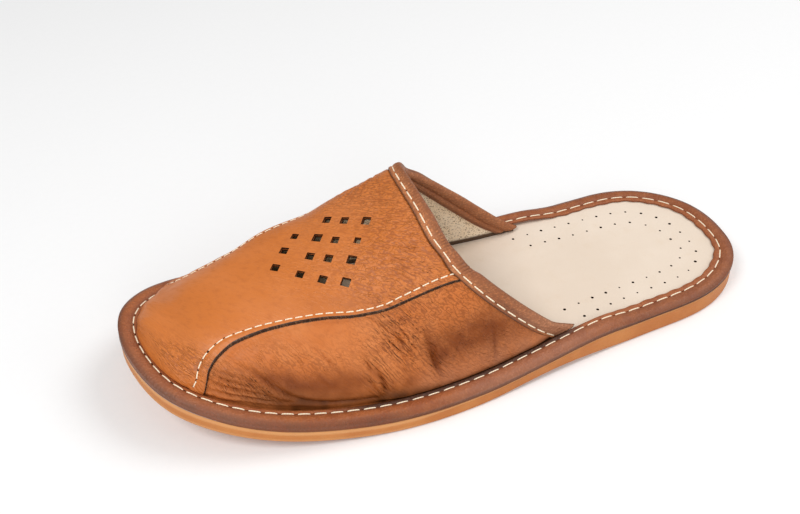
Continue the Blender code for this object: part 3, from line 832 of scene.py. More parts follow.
def on_upper(x, turn):
    """Points of the leather's surface and its outward directions, for stitches."""
    dx, dt = 0.0002, 0.002
    along = upper_point(x + dx, turn) - upper_point(x - dx, turn)
    up, down = np.clip(turn + dt, -1, 1), np.clip(turn - dt, -1, 1)
    normal = unit(np.cross(along, upper_point(x, up) - upper_point(x, down)))
    point = upper_point(x, turn)
    height = leather_relief(x / MM, arc_of(x, turn) / MM, point[..., 2]) * MM
    return point + normal * height[..., None], normal


# ---------------------------------------------------------------- meshes
def new_object(name, data):
    """Object in the scene with that mesh, light or camera."""
    made = bpy.data.objects.new(name, data)
    bpy.context.scene.collection.objects.link(made)
    return made


def mesh_object(name, points, faces, uvs=None):
    """Object from points and faces; uvs maps a layer's name to values for each point."""
    mesh = bpy.data.meshes.new(name)
    mesh.from_pydata(placed(points).tolist(), [], np.asarray(faces).tolist())
    corner = np.zeros(len(mesh.loops), dtype=np.int32)
    mesh.loops.foreach_get("vertex_index", corner)
    for layer, values in (uvs or {}).items():
        made = mesh.uv_layers.new(name=layer)
        made.data.foreach_set("uv", np.asarray(values, np.float32)[corner].ravel())
    return new_object(name, mesh)


def shade(made, angle):
    """Smooth shading with edges sharper than the angle kept sharp."""
    made.data.shade_smooth()
    made.data.set_sharp_from_angle(angle=math.radians(angle))


def finish_mesh(made, angle=40, weld=WELD):
    """Weld what coincides, point every face outwards and shade it."""
    work = bmesh.new()
    work.from_mesh(made.data)
    if weld:
        bmesh.ops.remove_doubles(work, verts=work.verts, dist=weld)
        bmesh.ops.dissolve_degenerate(work, edges=work.edges, dist=1e-7)
    bmesh.ops.recalc_face_normals(work, faces=work.faces)
    work.to_mesh(made.data)
    work.free()
    shade(made, angle)
    return made


def cap_ends(made):
    """Close the open ends of a tube."""
    work = bmesh.new()
    work.from_mesh(made.data)
    bmesh.ops.holes_fill(work, edges=[e for e in work.edges if e.is_boundary], sides=0)
    bmesh.ops.recalc_face_normals(work, faces=work.faces)
    work.to_mesh(made.data)
    work.free()


def grid_faces(rows, columns, wrap=False):
    """Quads of a grid of points listed row by row; wrap joins its last column to its first."""
    r, c = np.meshgrid(np.arange(rows - 1), np.arange(columns - (not wrap)), indexing="ij")
    r2, c2 = r + 1, (c + 1) % columns
    corners = [r * columns + c, r2 * columns + c, r2 * columns + c2, r * columns + c2]
    return np.stack(corners, -1).reshape(-1, 4)


def shell(name, outer, inner, uvs, angle=40):
    """Closed sheet between two grids of the same size; uvs are grids of value pairs."""
    rows, columns = outer.shape[:2]
    count = rows * columns
    face = grid_faces(rows, columns)
    index = np.arange(count).reshape(rows, columns)
    border = [index[0, :-1], index[:-1, -1], index[-1, :0:-1], index[:0:-1, 0]]
    border = np.concatenate(border)
    after = np.roll(border, -1)
    rim = np.stack([border, after, after + count, border + count], 1)
    points = np.vstack([outer.reshape(-1, 3), inner.reshape(-1, 3)])
    faces = np.vstack([face, face[:, ::-1] + count, rim])
    layers = {key: np.tile(np.reshape(value, (count, 2)), (2, 1)) for key, value in uvs.items()}
    return finish_mesh(mesh_object(name, points, faces, layers), angle)


def joined(columns):
    """Grid of stations by columns from a list of columns of stations."""
    return np.array(columns).transpose(1, 0, 2)


def tube(name, columns, layers, angle, weld=WELD):
    """Strip of columns of points side by side, the last one joined to the first."""
    grid = joined(columns)
    uvs = {key: joined(value).reshape(-1, 2) for key, value in layers.items()}
    faces = grid_faces(*grid.shape[:2], wrap=True)
    return finish_mesh(mesh_object(name, grid.reshape(-1, 3), faces, uvs), angle, weld)


def prisms_object(name, prisms, sides, depth, material):
    """One object of prisms, given as radius and matrix, to cut holes with."""
    work = bmesh.new()
    for radius, place in prisms:
        bmesh.ops.create_cone(
            work,
            cap_ends=True,
            segments=sides,
            radius1=radius,
            radius2=radius,
            depth=depth,
            matrix=place,
        )
    mesh = bpy.data.meshes.new(name)
    work.to_mesh(mesh)
    work.free()
    mesh.materials.append(material)
    return new_object(name, mesh)


def cut(made, cutter, material):
    """Subtract the cutter's solids from a piece for good; the cut faces take its finish."""
    made.data.materials.append(material)
    modifier = made.modifiers.new("cut", "BOOLEAN")
    modifier.material_mode = "TRANSFER"
    modifier.operation = "DIFFERENCE"
    modifier.solver = "EXACT"
    modifier.object = cutter
    graph = bpy.context.evaluated_depsgraph_get()
    mesh = bpy.data.meshes.new_from_object(made.evaluated_get(graph))
    made.modifiers.clear()
    old = made.data
    made.data = mesh
    bpy.data.meshes.remove(old)
    shade(made, 40)


def piece(made, material, nodes=()):
    """Give a piece its finish and tie it to the frame."""
    if not made.data.materials:
        made.data.materials.append(material)
    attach(made, "root")
    if nodes:
        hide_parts(*nodes)


# ---------------------------------------------------------------- materials
def srgb(*color):
    """Linear colour from screen values out of 255, or one that is linear already."""
    if len(color) == 4:
        return color
    made = []
    for value in color:
        value /= 255
        made.append(value / 12.92 if value <= 0.04045 else ((value + 0.055) / 1.055) ** 2.4)
    return (*made, 1.0)


class Finish:
    """A Principled material and the nodes that feed it."""

    def __init__(self, name, **fixed):
        self.material = bpy.data.materials.new(name)
        self.material.use_nodes = True
        self.tree = self.material.node_tree
        self.shader = self.tree.nodes["Principled BSDF"]
        for key, value in fixed.items():
            self.shader.inputs[key.replace("_", " ")].default_value = value

    def feed(self, node, values):
        """Link or set a node's inputs."""
        for key, value in values.items():
            socket = node.inputs[key]
            if isinstance(value, bpy.types.NodeSocket):
                self.tree.links.new(value, socket)
            elif value is not None:
                socket.default_value = srgb(*value) if socket.type == "RGBA" else value

    def node(self, kind, output, inputs, **settings):
        """New node with its settings and inputs; gives one of its outputs."""
        made = self.tree.nodes.new(kind)
        for key, value in settings.items():
            setattr(made, key, value)
        self.feed(made, inputs)
        return made.outputs[output]

    def layer(self, name):
        """The layer of values that a mesh carries under that name."""
        return self.node("ShaderNodeUVMap", "UV", {}, uv_map=name)

    def place(self):
        """The place in the slipper's own frame, in metres."""
        return self.node("ShaderNodeTexCoord", "Object", {})

    def parts(self, vector):
        """First and second value of a vector, or of the layer with that name."""
        if isinstance(vector, str):
            vector = self.layer(vector)
        first = self.node("ShaderNodeSeparateXYZ", "X", {"Vector": vector})
        return first, first.node.outputs["Y"]

    def turned(self, vector, degrees, along, across=1.0):
        """Coordinates whose first axis lies that way round, stretched along and across it."""
        turn = (0, 0, math.radians(degrees))
        values = {"Vector": vector, "Rotation": turn, "Scale": (along, across, 1.0)}
        return self.node("ShaderNodeMapping", "Vector", values, vector_type="TEXTURE")

    def warped(self, vector, scale, reach):
        """Coordinates pushed about by noise, reach being the most that they move."""
        push = self.node("ShaderNodeTexNoise", "Color", {"Vector": vector, "Scale": scale})
        values = {0: push, 1: (reach, reach, 0.0), 2: vector}
        return self.node("ShaderNodeVectorMath", "Vector", values, operation="MULTIPLY_ADD")

    def noise(self, vector, scale, detail, roughness, distortion=0.0):
        """Soft noise about one half."""
        values = {"Vector": vector, "Scale": scale, "Detail": detail}
        values.update({"Roughness": roughness, "Distortion": distortion})
        return self.node("ShaderNodeTexNoise", "Fac", values)

    def ridges(self, vector, scale, width):
        """Rounded ridges between thin valleys that follow a noise's middle level."""
        away = self.math("SUBTRACT", self.noise(vector, scale, 1.0, 0.4), 0.5)
        return self.ramp(self.math("ABSOLUTE", away), 0.0, width)

    def cells(self, vector, scale):
        """Distance from the middles of cells."""
        values = {"Vector": vector, "Scale": scale}
        return self.node("ShaderNodeTexVoronoi", "Distance", values)

    def math(self, operation, first, second=0.5):
        """One sum on one or two values."""
        return self.node("ShaderNodeMath", 0, {0: first, 1: second}, operation=operation)

    def times(self, first, second):
        """Product of two values."""
        return self.math("MULTIPLY", first, second)

    def ramp(self, value, low, high, start=0.0, end=1.0):
        """Smooth step from start to end as the value goes from low to high."""
        values = {"Value": value, "From Min": low, "From Max": high}
        values.update({"To Min": start, "To Max": end})
        settings = {"clamp": True, "interpolation_type": "SMOOTHSTEP"}
        return self.node("ShaderNodeMapRange", "Result", values, **settings)

    def mix(self, share, first, second):
        """Blend of two colours."""
        values = {0: share, 6: first, 7: second}
        return self.node("ShaderNodeMix", 2, values, data_type="RGBA")

    def tint(self, color, stain, share, strength):
        """A colour stained by another one."""
        return self.mix(self.times(share, strength), color, stain)

    def bump(self, height, depth, under=None):
        """Normal of a relief as deep as that, in metres, over the normal under it."""
        values = {"Height": height, "Distance": depth, "Normal": under}
        return self.node("ShaderNodeBump", "Normal", values)

    def done(self, color, roughness=None, normal=None):
        """The material, fed with these."""
        values = {"Base Color": color, "Roughness": roughness, "Normal": normal}
        self.feed(self.shader, values)
        return self.material


def upper_leather(name, turn, gloss, base, light, deep, hollow_shade_color, line_color):
    """Smooth glazed leather, crinkled where the mask says, with painted shade in its hollows,
    creases and low on the wall, a painted sheen low at the back, and a raw dark edge; turn is
    the way its wrinkles run.
    """
    made = Finish(name, Coat_Weight=0.05, Coat_Roughness=0.35, Specular_IOR_Level=gloss)
    skin = made.layer("skin")
    crinkled, raw = made.parts("mask")
    # The layers carry painted shade in the hollows and creases, painted shade low on the wall
    # and a painted sheen
    hollow, drawn = made.parts("tone")
    low, painted_sheen = made.parts("dirt")
    mottle = made.noise(skin, 0.35, 3.0, 0.6)
    bent = made.warped(skin, 0.25, 1.5)
    folds = made.ridges(made.turned(bent, turn, 3.0), 0.62, 0.17)
    cross = made.ridges(made.turned(bent, turn + 50, 1.8), 0.50, 0.15)
    net = made.times(folds, made.ramp(cross, 0.0, 1.0, 0.25, 1.0))
    long = made.ridges(made.turned(bent, turn - 6, 8.0), 0.50, 0.10)
    level = made.times(crinkled, made.math("SUBTRACT", 1.0, made.times(hollow, 0.25)))
    lines = made.times(made.ramp(net, 0.13, 0.0), level)
    streaks = made.times(made.ramp(long, 0.16, 0.0), drawn)
    color = made.mix(made.ramp(made.noise(skin, 0.035, 3.0, 0.55), 0.35, 0.68), base, light)
    color = made.tint(color, deep, made.ramp(mottle, 0.45, 0.75), 0.22)
    # darker crinkle lines and long wrinkles: partly the grain's darker cracks, partly painted
    # shade in their troughs
    color = made.tint(color, line_color, lines, 0.50)
    color = made.tint(color, line_color, streaks, 0.78)
    # painted shade in the hollows and creases
    color = made.tint(color, hollow_shade_color, hollow, 0.92)
    # painted sheen: a pale reflection low on the back of the lateral wall
    color = made.tint(color, (160, 112, 88), painted_sheen, 0.60)
    # painted shade low on the wall, by the rand
    color = made.mix(low, color, (84, 44, 16))
    fibre = made.noise(skin, 1.3, 4.0, 0.75)
    raw_color = made.mix(made.ramp(fibre, 0.52, 0.62), (56, 36, 24), (124, 92, 64))
    color = made.mix(made.ramp(made.math("ADD", raw, fibre), 1.00, 1.12), color, raw_color)
    normal = made.bump(made.ramp(made.cells(skin, 1.9), 0.05, 0.45), 0.00003)
    folded = made.times(net, made.math("ADD", level, 0.10))
    normal = made.bump(folded, 0.00042, normal)
    normal = made.bump(made.times(long, drawn), 0.00048, normal)
    return made.done(color, made.ramp(mottle, 0.2, 0.8, 0.40, 0.55), normal)


def strip_leather(name, rough, pebble, top, low, deep, scuff, sheen_color):
    """Binding leather: mottled, of its top colour where lit and its low colour where the mask's
    first value asks for painted shade, scuffed where the second is high; other layers add dark
    lines, painted shade and a painted sheen.
    """
    made = Finish(name, Coat_Weight=0.04, Coat_Roughness=0.40, Specular_IOR_Level=0.32)
    skin = made.layer("skin")
    shade_share, worn = made.parts("mask")
    dirt, painted_sheen = made.parts("dirt")
    fine = made.noise(skin, 0.9, 4.0, 0.65)
    specks = made.times(made.ramp(made.noise(skin, 2.4, 2.0, 0.6), 0.52, 0.62), shade_share)
    rub = made.ramp(made.math("ADD", worn, made.times(fine, 0.5)), 0.80, 1.00)
    grain = made.ramp(made.cells(made.warped(skin, 0.8, 1.0), 0.85), 0.10, 0.62)
    # lit colour, and shaded colour for painted shade
    color = made.mix(shade_share, top, low)
    color = made.tint(color, deep, made.ramp(made.noise(skin, 0.12, 3.0, 0.6), 0.38, 0.66), 0.60)
    color = made.tint(color, deep, made.ramp(fine, 0.48, 0.70), 0.45)
    color = made.tint(color, (44, 30, 26), specks, 0.45)
    # painted sheen, pale
    color = made.tint(color, sheen_color, painted_sheen, 0.6)
    # dark lines and painted shade
    color = made.tint(color, (38, 25, 20), dirt, 0.9)
    color = made.tint(color, scuff, rub, 0.8)
    color = made.tint(color, (98, 56, 34), grain, pebble)
    wrinkle = made.noise(made.turned(skin, 90, 3.6), 1.1, 3.0, 0.6, 0.5)
    normal = made.bump(made.math("SUBTRACT", 1.0, grain), 0.00016)
    normal = made.bump(wrinkle, 0.00036, normal)
    return made.done(color, made.ramp(fine, 0.2, 0.8, rough - 0.05, rough + 0.12), normal)


SHADE_UNDER_VAMP = (-0.060, -0.018)  # x where the painted shade under the vamp is full, and where it ends


def shaded_front(made, color, front):
    """Darker towards the toe under the vamp: painted shade inside the front of the slipper."""
    return made.mix(made.ramp(made.parts(made.place())[0], *SHADE_UNDER_VAMP), front, color)


def lining_suede():
    """Pale flecked suede, with painted shade at its foot and towards the toe."""
    made = Finish("suede lining", Roughness=0.95, Sheen_Weight=0.25, Sheen_Roughness=0.5)
    made.shader.inputs["Specular IOR Level"].default_value = 0.15
    place = made.place()
    broad = made.noise(place, 90.0, 3.0, 0.6)
    fleck = made.noise(place, 1300.0, 2.0, 0.7)
    color = made.mix(made.ramp(broad, 0.35, 0.65), (254, 232, 200), (255, 238, 212))
    color = made.mix(made.ramp(fleck, 0.52, 0.66), color, (160, 130, 94))
    # painted shade along its foot, where it meets the insole
    color = made.mix(made.parts("mask")[0], color, (84, 62, 44))
    # painted shade towards the toe
    color = shaded_front(made, color, (92, 76, 50))
    return made.done(color, None, made.bump(fleck, 0.00022))


def insole_leather():
    """Pale smooth leather with fine pores, and painted shade towards the toe."""
    made = Finish("insole leather", Roughness=0.62, Specular_IOR_Level=0.35)
    place = made.place()
    broad = made.noise(place, 22.0, 3.0, 0.6)
    mottle = made.noise(place, 160.0, 4.0, 0.65)
    color = made.mix(made.ramp(broad, 0.30, 0.70), (234, 217, 199), (228, 210, 191))
    color = made.tint(color, (222, 200, 175), made.ramp(mottle, 0.5, 0.8), 0.3)
    # painted shade towards the toe
    color = shaded_front(made, color, (110, 92, 66))
    normal = made.bump(made.ramp(made.cells(place, 1500.0), 0.1, 0.5), 0.00002)
    normal = made.bump(made.noise(place, 260.0, 3.0, 0.6), 0.00010, normal)
    return made.done(color, made.ramp(mottle, 0.3, 0.8, 0.55, 0.70), normal)


def outsole_rubber():
    """Tan moulded rubber, streaked along, rubbed pale at its edges and with painted shade on its
    lower edge.
    """
    made = Finish("outsole rubber", Roughness=0.55, Specular_IOR_Level=0.4)
    made.shader.inputs["Subsurface Weight"].default_value = 0.06
    made.shader.inputs["Subsurface Radius"].default_value = (0.004, 0.002, 0.001)
    skin = made.layer("skin")
    worn, low = made.parts("mask")
    broad = made.noise(skin, 0.05, 3.0, 0.6)
    speck = made.noise(skin, 1.6, 4.0, 0.7)
    rub = made.ramp(made.math("ADD", worn, made.times(speck, 0.4)), 0.75, 1.05)
    color = made.mix(made.ramp(broad, 0.35, 0.68), (192, 114, 48), (204, 130, 62))
    color = made.tint(color, (176, 104, 46), made.ramp(speck, 0.52, 0.78), 0.35)
    # painted shade on the rounded lower edge, over the floor
    color = made.tint(color, (176, 104, 50), low, 0.45)
    color = made.tint(color, (232, 172, 112), rub, 0.6)
    streak = made.noise(made.turned(skin, 0, 4.0, 0.7), 0.9, 3.0, 0.6)
    normal = made.bump(streak, 0.00015, made.bump(speck, 0.00010))
    return made.done(color, made.ramp(speck, 0.3, 0.8, 0.48, 0.66), normal)


def thread():
    """Pale waxed thread of twisted plies."""
    made = Finish("waxed thread", Roughness=0.55, Sheen_Weight=0.2, Specular_IOR_Level=0.3)
    skin = made.layer("skin")
    values = {"Vector": made.turned(skin, 0, 1.0, 1.8), "Scale": 0.55, "Distortion": 0.0}
    settings = {"wave_type": "BANDS", "bands_direction": "DIAGONAL"}
    ply = made.node("ShaderNodeTexWave", "Fac", values, **settings)
    fuzz = made.noise(skin, 3.0, 2.0, 0.6)
    color = made.mix(made.ramp(ply, 0.1, 0.7), (246, 222, 184), (255, 242, 218))
    color = made.tint(color, (240, 216, 182), made.ramp(fuzz, 0.5, 0.8), 0.3)
    return made.done(color, None, made.bump(ply, 0.00004))


def needle_hole():
    """Near black: painted shade inside the needle and pin holes."""
    made = Finish("needle hole", Roughness=0.9, Specular_IOR_Level=0.1)
    speck = made.noise(made.place(), 900.0, 2.0, 0.5)
    return made.done(made.mix(speck, (0.020, 0.009, 0.005, 1.0), (0.05, 0.022, 0.012, 1.0)))


def cut_edge():
    """Dark raw edge of leather inside the cut-outs."""
    made = Finish("cut edge", Roughness=0.9, Specular_IOR_Level=0.15)
    fibre = made.noise(made.place(), 1500.0, 3.0, 0.6)
    color = made.mix(made.ramp(fibre, 0.4, 0.7), (52, 26, 14), (104, 60, 36))
    return made.done(color, None, made.bump(fibre, 0.0001))


def floor_paper():
    """Even pale grey for the floor."""
    made = Finish("pale floor", Roughness=0.9, Specular_IOR_Level=0.1, Emission_Strength=0.10)
    made.shader.inputs["Emission Color"].default_value = (1, 1, 1, 1)
    grain = made.noise(made.place(), 300.0, 2.0, 0.5)
    return made.done(made.mix(grain, (0.84, 0.84, 0.84, 1.0), (0.86, 0.86, 0.86, 1.0)))


VAMP = upper_leather(
    "vamp leather",
    turn=-35,
    gloss=0.38,
    base=(204, 115, 47),
    light=(210, 122, 58),
    deep=(154, 77, 31),
    hollow_shade_color=(150, 80, 30),
    line_color=(126, 60, 24),
)
SIDE = upper_leather(
    "side leather",
    turn=-50,
    gloss=0.22,
    base=(200, 112, 52),
    light=(210, 126, 68),
    deep=(138, 68, 28),
    hollow_shade_color=(118, 52, 0),
    line_color=(110, 54, 20),
)
COLLAR = strip_leather(
    "collar leather",
    rough=0.45,
    pebble=0.44,
    top=(226, 144, 88),
    low=(112, 64, 40),
    deep=(176, 102, 58),
    scuff=(200, 150, 118),
    sheen_color=(186, 136, 108),
)
WELT = strip_leather(
    "welt leather",
    rough=0.42,
    pebble=0.22,
    top=(180, 104, 58),
    low=(92, 54, 38),
    deep=(142, 72, 38),
    scuff=(196, 176, 168),
    sheen_color=(172, 122, 98),
)
LINING = lining_suede()
INSOLE = insole_leather()
RUBBER = outsole_rubber()
THREAD = thread()
HOLE = needle_hole()
HOLE_EDGE = cut_edge()


# ---------------------------------------------------------------- lattice of cut-outs
def panel_point(ahead, aside):
    """Point of the front panel at arc lengths along and across it from the lattice's middle."""
    start, step = CUT_OUT_STATION * LENGTH, 0.010
    low, high = (upper_point(x, turn_at(x, CUT_OUT_MIDDLE)) for x in (start, start + step))
    x = start + ahead * step / float(np.linalg.norm(high - low))
    section = upper_point(np.full_like(TURNS, x), TURNS)
    path = lengths(section)
    middle = np.interp(CUT_OUT_MIDDLE, section[:, 1], path)
    return upper_point(x, float(np.interp(middle + aside, path, TURNS)))


# The corner (0, 0), on the medial side nearest the toe, has no cut-out
HAND_CUT = {
    # row and column: shift along its row, shift along its column, size
    (0, 1): (-0.3, 0.7, 0.86),
    (0, 2): (-1.8, -0.5, 1.00),
    (0, 3): (-2.0, -0.8, 1.00),
    (1, 0): (1.3, 0.3, 1.00),
    (1, 1): (0.5, 0.5, 1.16),
    (1, 2): (0.9, 0.5, 1.00),
    (1, 3): (0.0, 0.1, 0.95),
    (2, 0): (-0.3, 0.6, 1.00),
    (2, 1): (-0.9, 0.9, 0.94),
    (2, 2): (-0.6, 0.1, 1.00),
    (2, 3): (0.4, 0.0, 1.00),
    (3, 0): (-0.1, 0.5, 1.08),
    (3, 1): (-0.8, 0.1, 0.82),
    (3, 2): (-0.3, -1.0, 1.10),
    (3, 3): (0.6, -1.3, 1.08),
}


def lattice_cutter():
    """Square prisms through the panel, one for each cut-out, shifted as if cut by hand."""
    turn = math.radians(CUT_OUT_TURN)
    along_row = np.array((math.cos(turn), -math.sin(turn)))
    along_column = np.array((-math.sin(turn), -math.cos(turn)))
    spread = (CUT_OUT_ROWS - 1) / 2
    prisms = []
    for (i, j), (ahead, aside, size) in HAND_CUT.items():
        flat = ((i - spread) * along_row + (j - spread) * along_column) * CUT_OUT_PITCH
        flat = flat + (ahead * along_row + aside * along_column) * MM
        place = panel_point(*flat)
        row_step = Vector(panel_point(*(flat + MM * along_row)) - place)
        column_step = Vector(panel_point(*(flat + MM * along_column)) - place)
        normal = column_step.cross(row_step).normalized()
        corner = (row_step.normalized() + column_step.normalized()).normalized()
        corner = (corner - normal * corner.dot(normal)).normalized()
        spin = Matrix((corner, normal.cross(corner), normal)).transposed().to_4x4()
        spin.translation = Vector(placed(place))
        prisms.append((size * CUT_OUT_SIDE / math.sqrt(2), spin))
    return prisms_object("lattice cutter", prisms, 4, CUT_OUT_DEPTH, HOLE_EDGE)


# ---------------------------------------------------------------- upper pieces
PANEL_WIDTH, WALL_WIDTH, LINING_WIDTH = 100.0, 44.0, 190.0  # about, in millimetres
UNDER_PANEL = (0.03, 0.97)  # shares across between which the wall is covered
PANEL_DIVE = 0.0007
DIVE_SHARES = (0.05, 0.35, 0.75, 1.0)  # of it, at the panel's last rows of points
PANEL_REACH = 1.12  # share of the binding's reach where the panel's even rows end
PANEL_TAIL = (1.06, 1.02, 0.97)
SIDE_REACH = 0.6  # the same for the wall and the lining
SIDE_TAIL = (0.3, 0.02)
FLANGE_REACH = 0.0028


def across_list(start, end, cell, width):
    """Even shares across a width of the upper, a cell apart."""
    return np.linspace(start, end, int(round(width / cell)) + 1)


def panel_columns():
    """Shares across the panel, close together at its two raw edges."""
    inner = across_list(0.0, 1.0, VAMP_CELL, PANEL_WIDTH)
    fine = np.array((0.0, 0.0025, 0.0055))
    return np.concatenate([fine, inner[1:-1], 1 - fine[::-1]])


def side_columns():
    """Shares across the wall: fine where it shows, coarse under the panel."""
    lateral = across_list(-1.0, 0.0, CELL, WALL_WIDTH)
    middle = across_list(*UNDER_PANEL, COVERED_CELL, 90.0)
    medial = across_list(1.0, 2.0, CELL, WALL_WIDTH)
    return np.concatenate([lateral, middle, medial])


def leather_layers(x, g, raw):
    """The values for each point that the upper's leather reads."""
    x = x / MM
    far_x, mirror = far_side(x, g)
    far = 0.5 * mound(far_x, mirror, CRINKLES) * ease(30, 50, x)
    crinkled = np.clip(crinkle_mask(x, g) + far, 0, 1)
    drawn = np.clip(mound(x, g, LONG_WRINKLES), 0, 1)
    return {
        "skin": np.stack([x, g], -1),
        "mask": np.stack([crinkled, raw], -1),
        # painted shade in hollows and creases with the long wrinkles, then painted shade low on
        # the wall with a painted sheen
        "tone": np.stack([hollow_mask(x, g), drawn], -1),
        "dirt": np.stack(low_shade(x, g), -1),
    }


def build_vamp(cutter):
    """Front panel with its raw edges, diving under the collar's binding at the throat."""
    skin = Skin(panel_columns(), PANEL_REACH, VAMP_CELL, PANEL_TAIL)
    x, across = skin.x / MM, 0 * skin.x
    ragged = 0.20 * lattice_noise(x, across, 0.9, 7)
    ragged += 0.14 * lattice_noise(x, across + 9, 2.3, 8)
    fray = 0.55 + 0.25 * lattice_noise(x, across + 20, 1.3, 10)
    started = ease(SEAM_START[0] - 0.001, SEAM_START[0] + 0.004, skin.x)
    lateral, medial = (seam_arc(skin.x, side) / MM for side in (0, 1))
    from_edge = np.maximum(np.minimum(skin.g - lateral, medial - skin.g), 0)
    dive = np.zeros((len(skin.x), 1))
    dive[-len(DIVE_SHARES) :, 0] = DIVE_SHARES
    dive = dive * PANEL_DIVE
    outer = skin.lifted(0.00010 * bell(from_edge, 0.9) * started - dive)
    thick = PANEL + 0.00028 * bell(from_edge, 1.2) * started
    inner = skin.lifted(-thick - 0.3 * dive)
    side = np.zeros(skin.x.shape)
    side[:, 0], side[:, -1] = -1, 1
    spread = unit(np.gradient(skin.points, axis=1), 1e-12)
    push = (ragged + 0.05) * MM * started
    under = push + fray * MM * started
    outer += spread * (side * push)[..., None]
    inner += spread * (side * under)[..., None]
    layers = leather_layers(skin.x, skin.g, bell(from_edge, 0.45) * started)
    made = shell("vamp_panel_leather", outer, inner, layers, 50)
    cut(made, cutter, VAMP)
    piece(made, VAMP, ("vamp_panel",))


def footed(grid, level, flange):
    """Bring a grid's foot down to a level over the sole and turn it outwards."""
    columns = []
    for column, side in ((0, -1), (-1, 1)):
        foot = grid[:, column].copy()
        foot[:, 2] = sole_top(foot[:, 0]) + level
        along = unit(np.gradient(foot[:, :2], axis=0), 1e-12)
        outward = np.stack([along[:, 1], -along[:, 0]], 1) * (-side)
        outward[0] = (-1.0, 0.0)
        edge = foot.copy()
        edge[:, :2] += outward * flange
        columns.append((foot[:, None], edge[:, None]))
    (left, far_left), (right, far_right) = columns
    return np.concatenate([far_left, left, grid, right, far_right], axis=1)


def pad(values):
    """Repeat a grid's outer columns for its foot and flange."""
    return np.concatenate([values[:, :1]] * 2 + [values] + [values[:, -1:]] * 2, axis=1)


def build_side(cutter):
    """Quarters of the upper, joined under the front panel, with the flange under the rand."""
    skin = Skin(side_columns(), SIDE_REACH, CELL, SIDE_TAIL)
    thickness = WALL - LINING_DEPTH
    outer = footed(skin.lifted(SIDE_LIFT), FLANGE_TOP, FLANGE_REACH)
    inner = footed(skin.lifted(SIDE_LIFT - thickness), FLANGE_TOP - thickness, FLANGE_REACH)
    x, g = pad(skin.x), pad(skin.g)
    outside = np.minimum(abs(seam_arc(x, 0) / MM - g), abs(g - seam_arc(x, 1) / MM))
    # dark band beside the panel's raw edge: partly that edge, partly the painted shadow it casts
    # on the wall
    raw = 0.85 * bell(outside, 1.25) * ease(*SEAM_START, x)
    made = shell("side_leather_quarters", outer, inner, leather_layers(x, g, raw))
    cut(made, cutter, SIDE)
    piece(made, SIDE, ("upper",))


def build_lining(cutter):
    """Suede lining inside the upper, down to the insole."""
    across = across_list(-1.0, 2.0, LINING_CELL, LINING_WIDTH)
    skin = Skin(across, SIDE_REACH, LINING_CELL, SIDE_TAIL)
    start = SIDE_LIFT - (WALL - LINING_DEPTH) - 0.00004
    outer = footed(skin.lifted(start), INSOLE_TOP + 0.0006, 0.0002)
    inner = footed(skin.lifted(start - LINING_DEPTH), INSOLE_TOP + 0.0001, 0.0)
    x, g = pad(skin.x), pad(skin.g)
    # painted shade along the lining's foot
    foot = bell(np.minimum(g, girth(x) / MM - g), 0.7)
    layers = {"skin": np.stack([x / MM, g], -1), "mask": np.stack([foot, 0 * foot], -1)}
    made = shell("suede_lining", outer, inner, layers)
    cut(made, cutter, LINING)
    piece(made, LINING)


# ---------------------------------------------------------------- collar binding
COLLAR_STEP = 0.28
COLLAR_SHARES = np.linspace(-0.64, 1.30, 39)
COLLAR_PROFILE = (
    # millimetres from the binding's front edge, lift over its top
    (0.00, -0.90),
    (0.02, -0.45),
    (0.20, -0.15),
    (0.60, 0.02),
    (1.20, 0.08),
    (1.75, -0.06),
    (2.20, -0.30),
    (2.65, -0.06),
    (3.30, 0.16),
    (4.20, 0.28),
)
COLLAR_RIM = (
    # share of the binding's width, lift over its top
    (0.30, 0.30),
    (0.15, 0.22),
    (0.05, 0.05),
    (-0.04, -0.45),
    (-0.10, -1.15),
)
COLLAR_ROLLS = (
    # share of the binding's width, lift over the upper's outer face
    (-0.13, -2.00),
    (-0.11, -2.80),
    (-0.06, -3.50),
    (0.02, -3.95),
    (0.12, -4.20),
    (0.24, -4.25),
    (0.34, -4.00),
    (0.41, -3.45),
    (0.47, -3.90),
    (0.56, -4.20),
    (0.68, -4.15),
    (0.78, -3.85),
    (0.83, -3.45),
    (0.845, -3.00),
    (0.83, -2.70),
    (0.45, -2.66),
    (0.05, -2.66),
    (-0.03, -2.40),
    (-0.03, -1.40),
    (0.10, -1.14),
    (0.60, -1.14),
)
ROLL_START = -0.13
ROLL_STRETCH = 1.32
PLEAT_PITCH = 1.55  # millimetres between the pleats of the rim
PLEAT_DEPTH = 0.24
ROLL_PATH = 12  # millimetres by which the rolls lie further on in the leather's pattern


def collar_band():
    """Lines along the throat at even shares of the binding's width, from welt to welt."""
    across = np.linspace(-0.995, 1.995, 900)
    lines = []
    for share in COLLAR_SHARES:
        x = throat(across, share)
        line = upper_point(x, turn_of(x, across))
        lines.append((lengths(line), np.column_stack([line, across])))
    total = lines[len(lines) // 2][0][-1]
    at = np.linspace(0.0, 1.0, int(total / (COLLAR_STEP * MM)) + 1)
    band = np.array([at_lengths(at * path[-1], path, line) for path, line in lines])
    normals = -grid_normals(band[..., :3])
    normals[0] = normals[1]
    return band[..., :3], normals, band[len(lines) // 2, :, 3], at * total / MM


COLLAR_BAND, COLLAR_NORMALS, COLLAR_ACROSS, COLLAR_PATH = collar_band()
COLLAR_WIDTH = np.linalg.norm(np.diff(COLLAR_BAND, axis=0), axis=2).sum(0) / MM
COLLAR_WIDTH = COLLAR_WIDTH / (COLLAR_SHARES[-1] - COLLAR_SHARES[0])


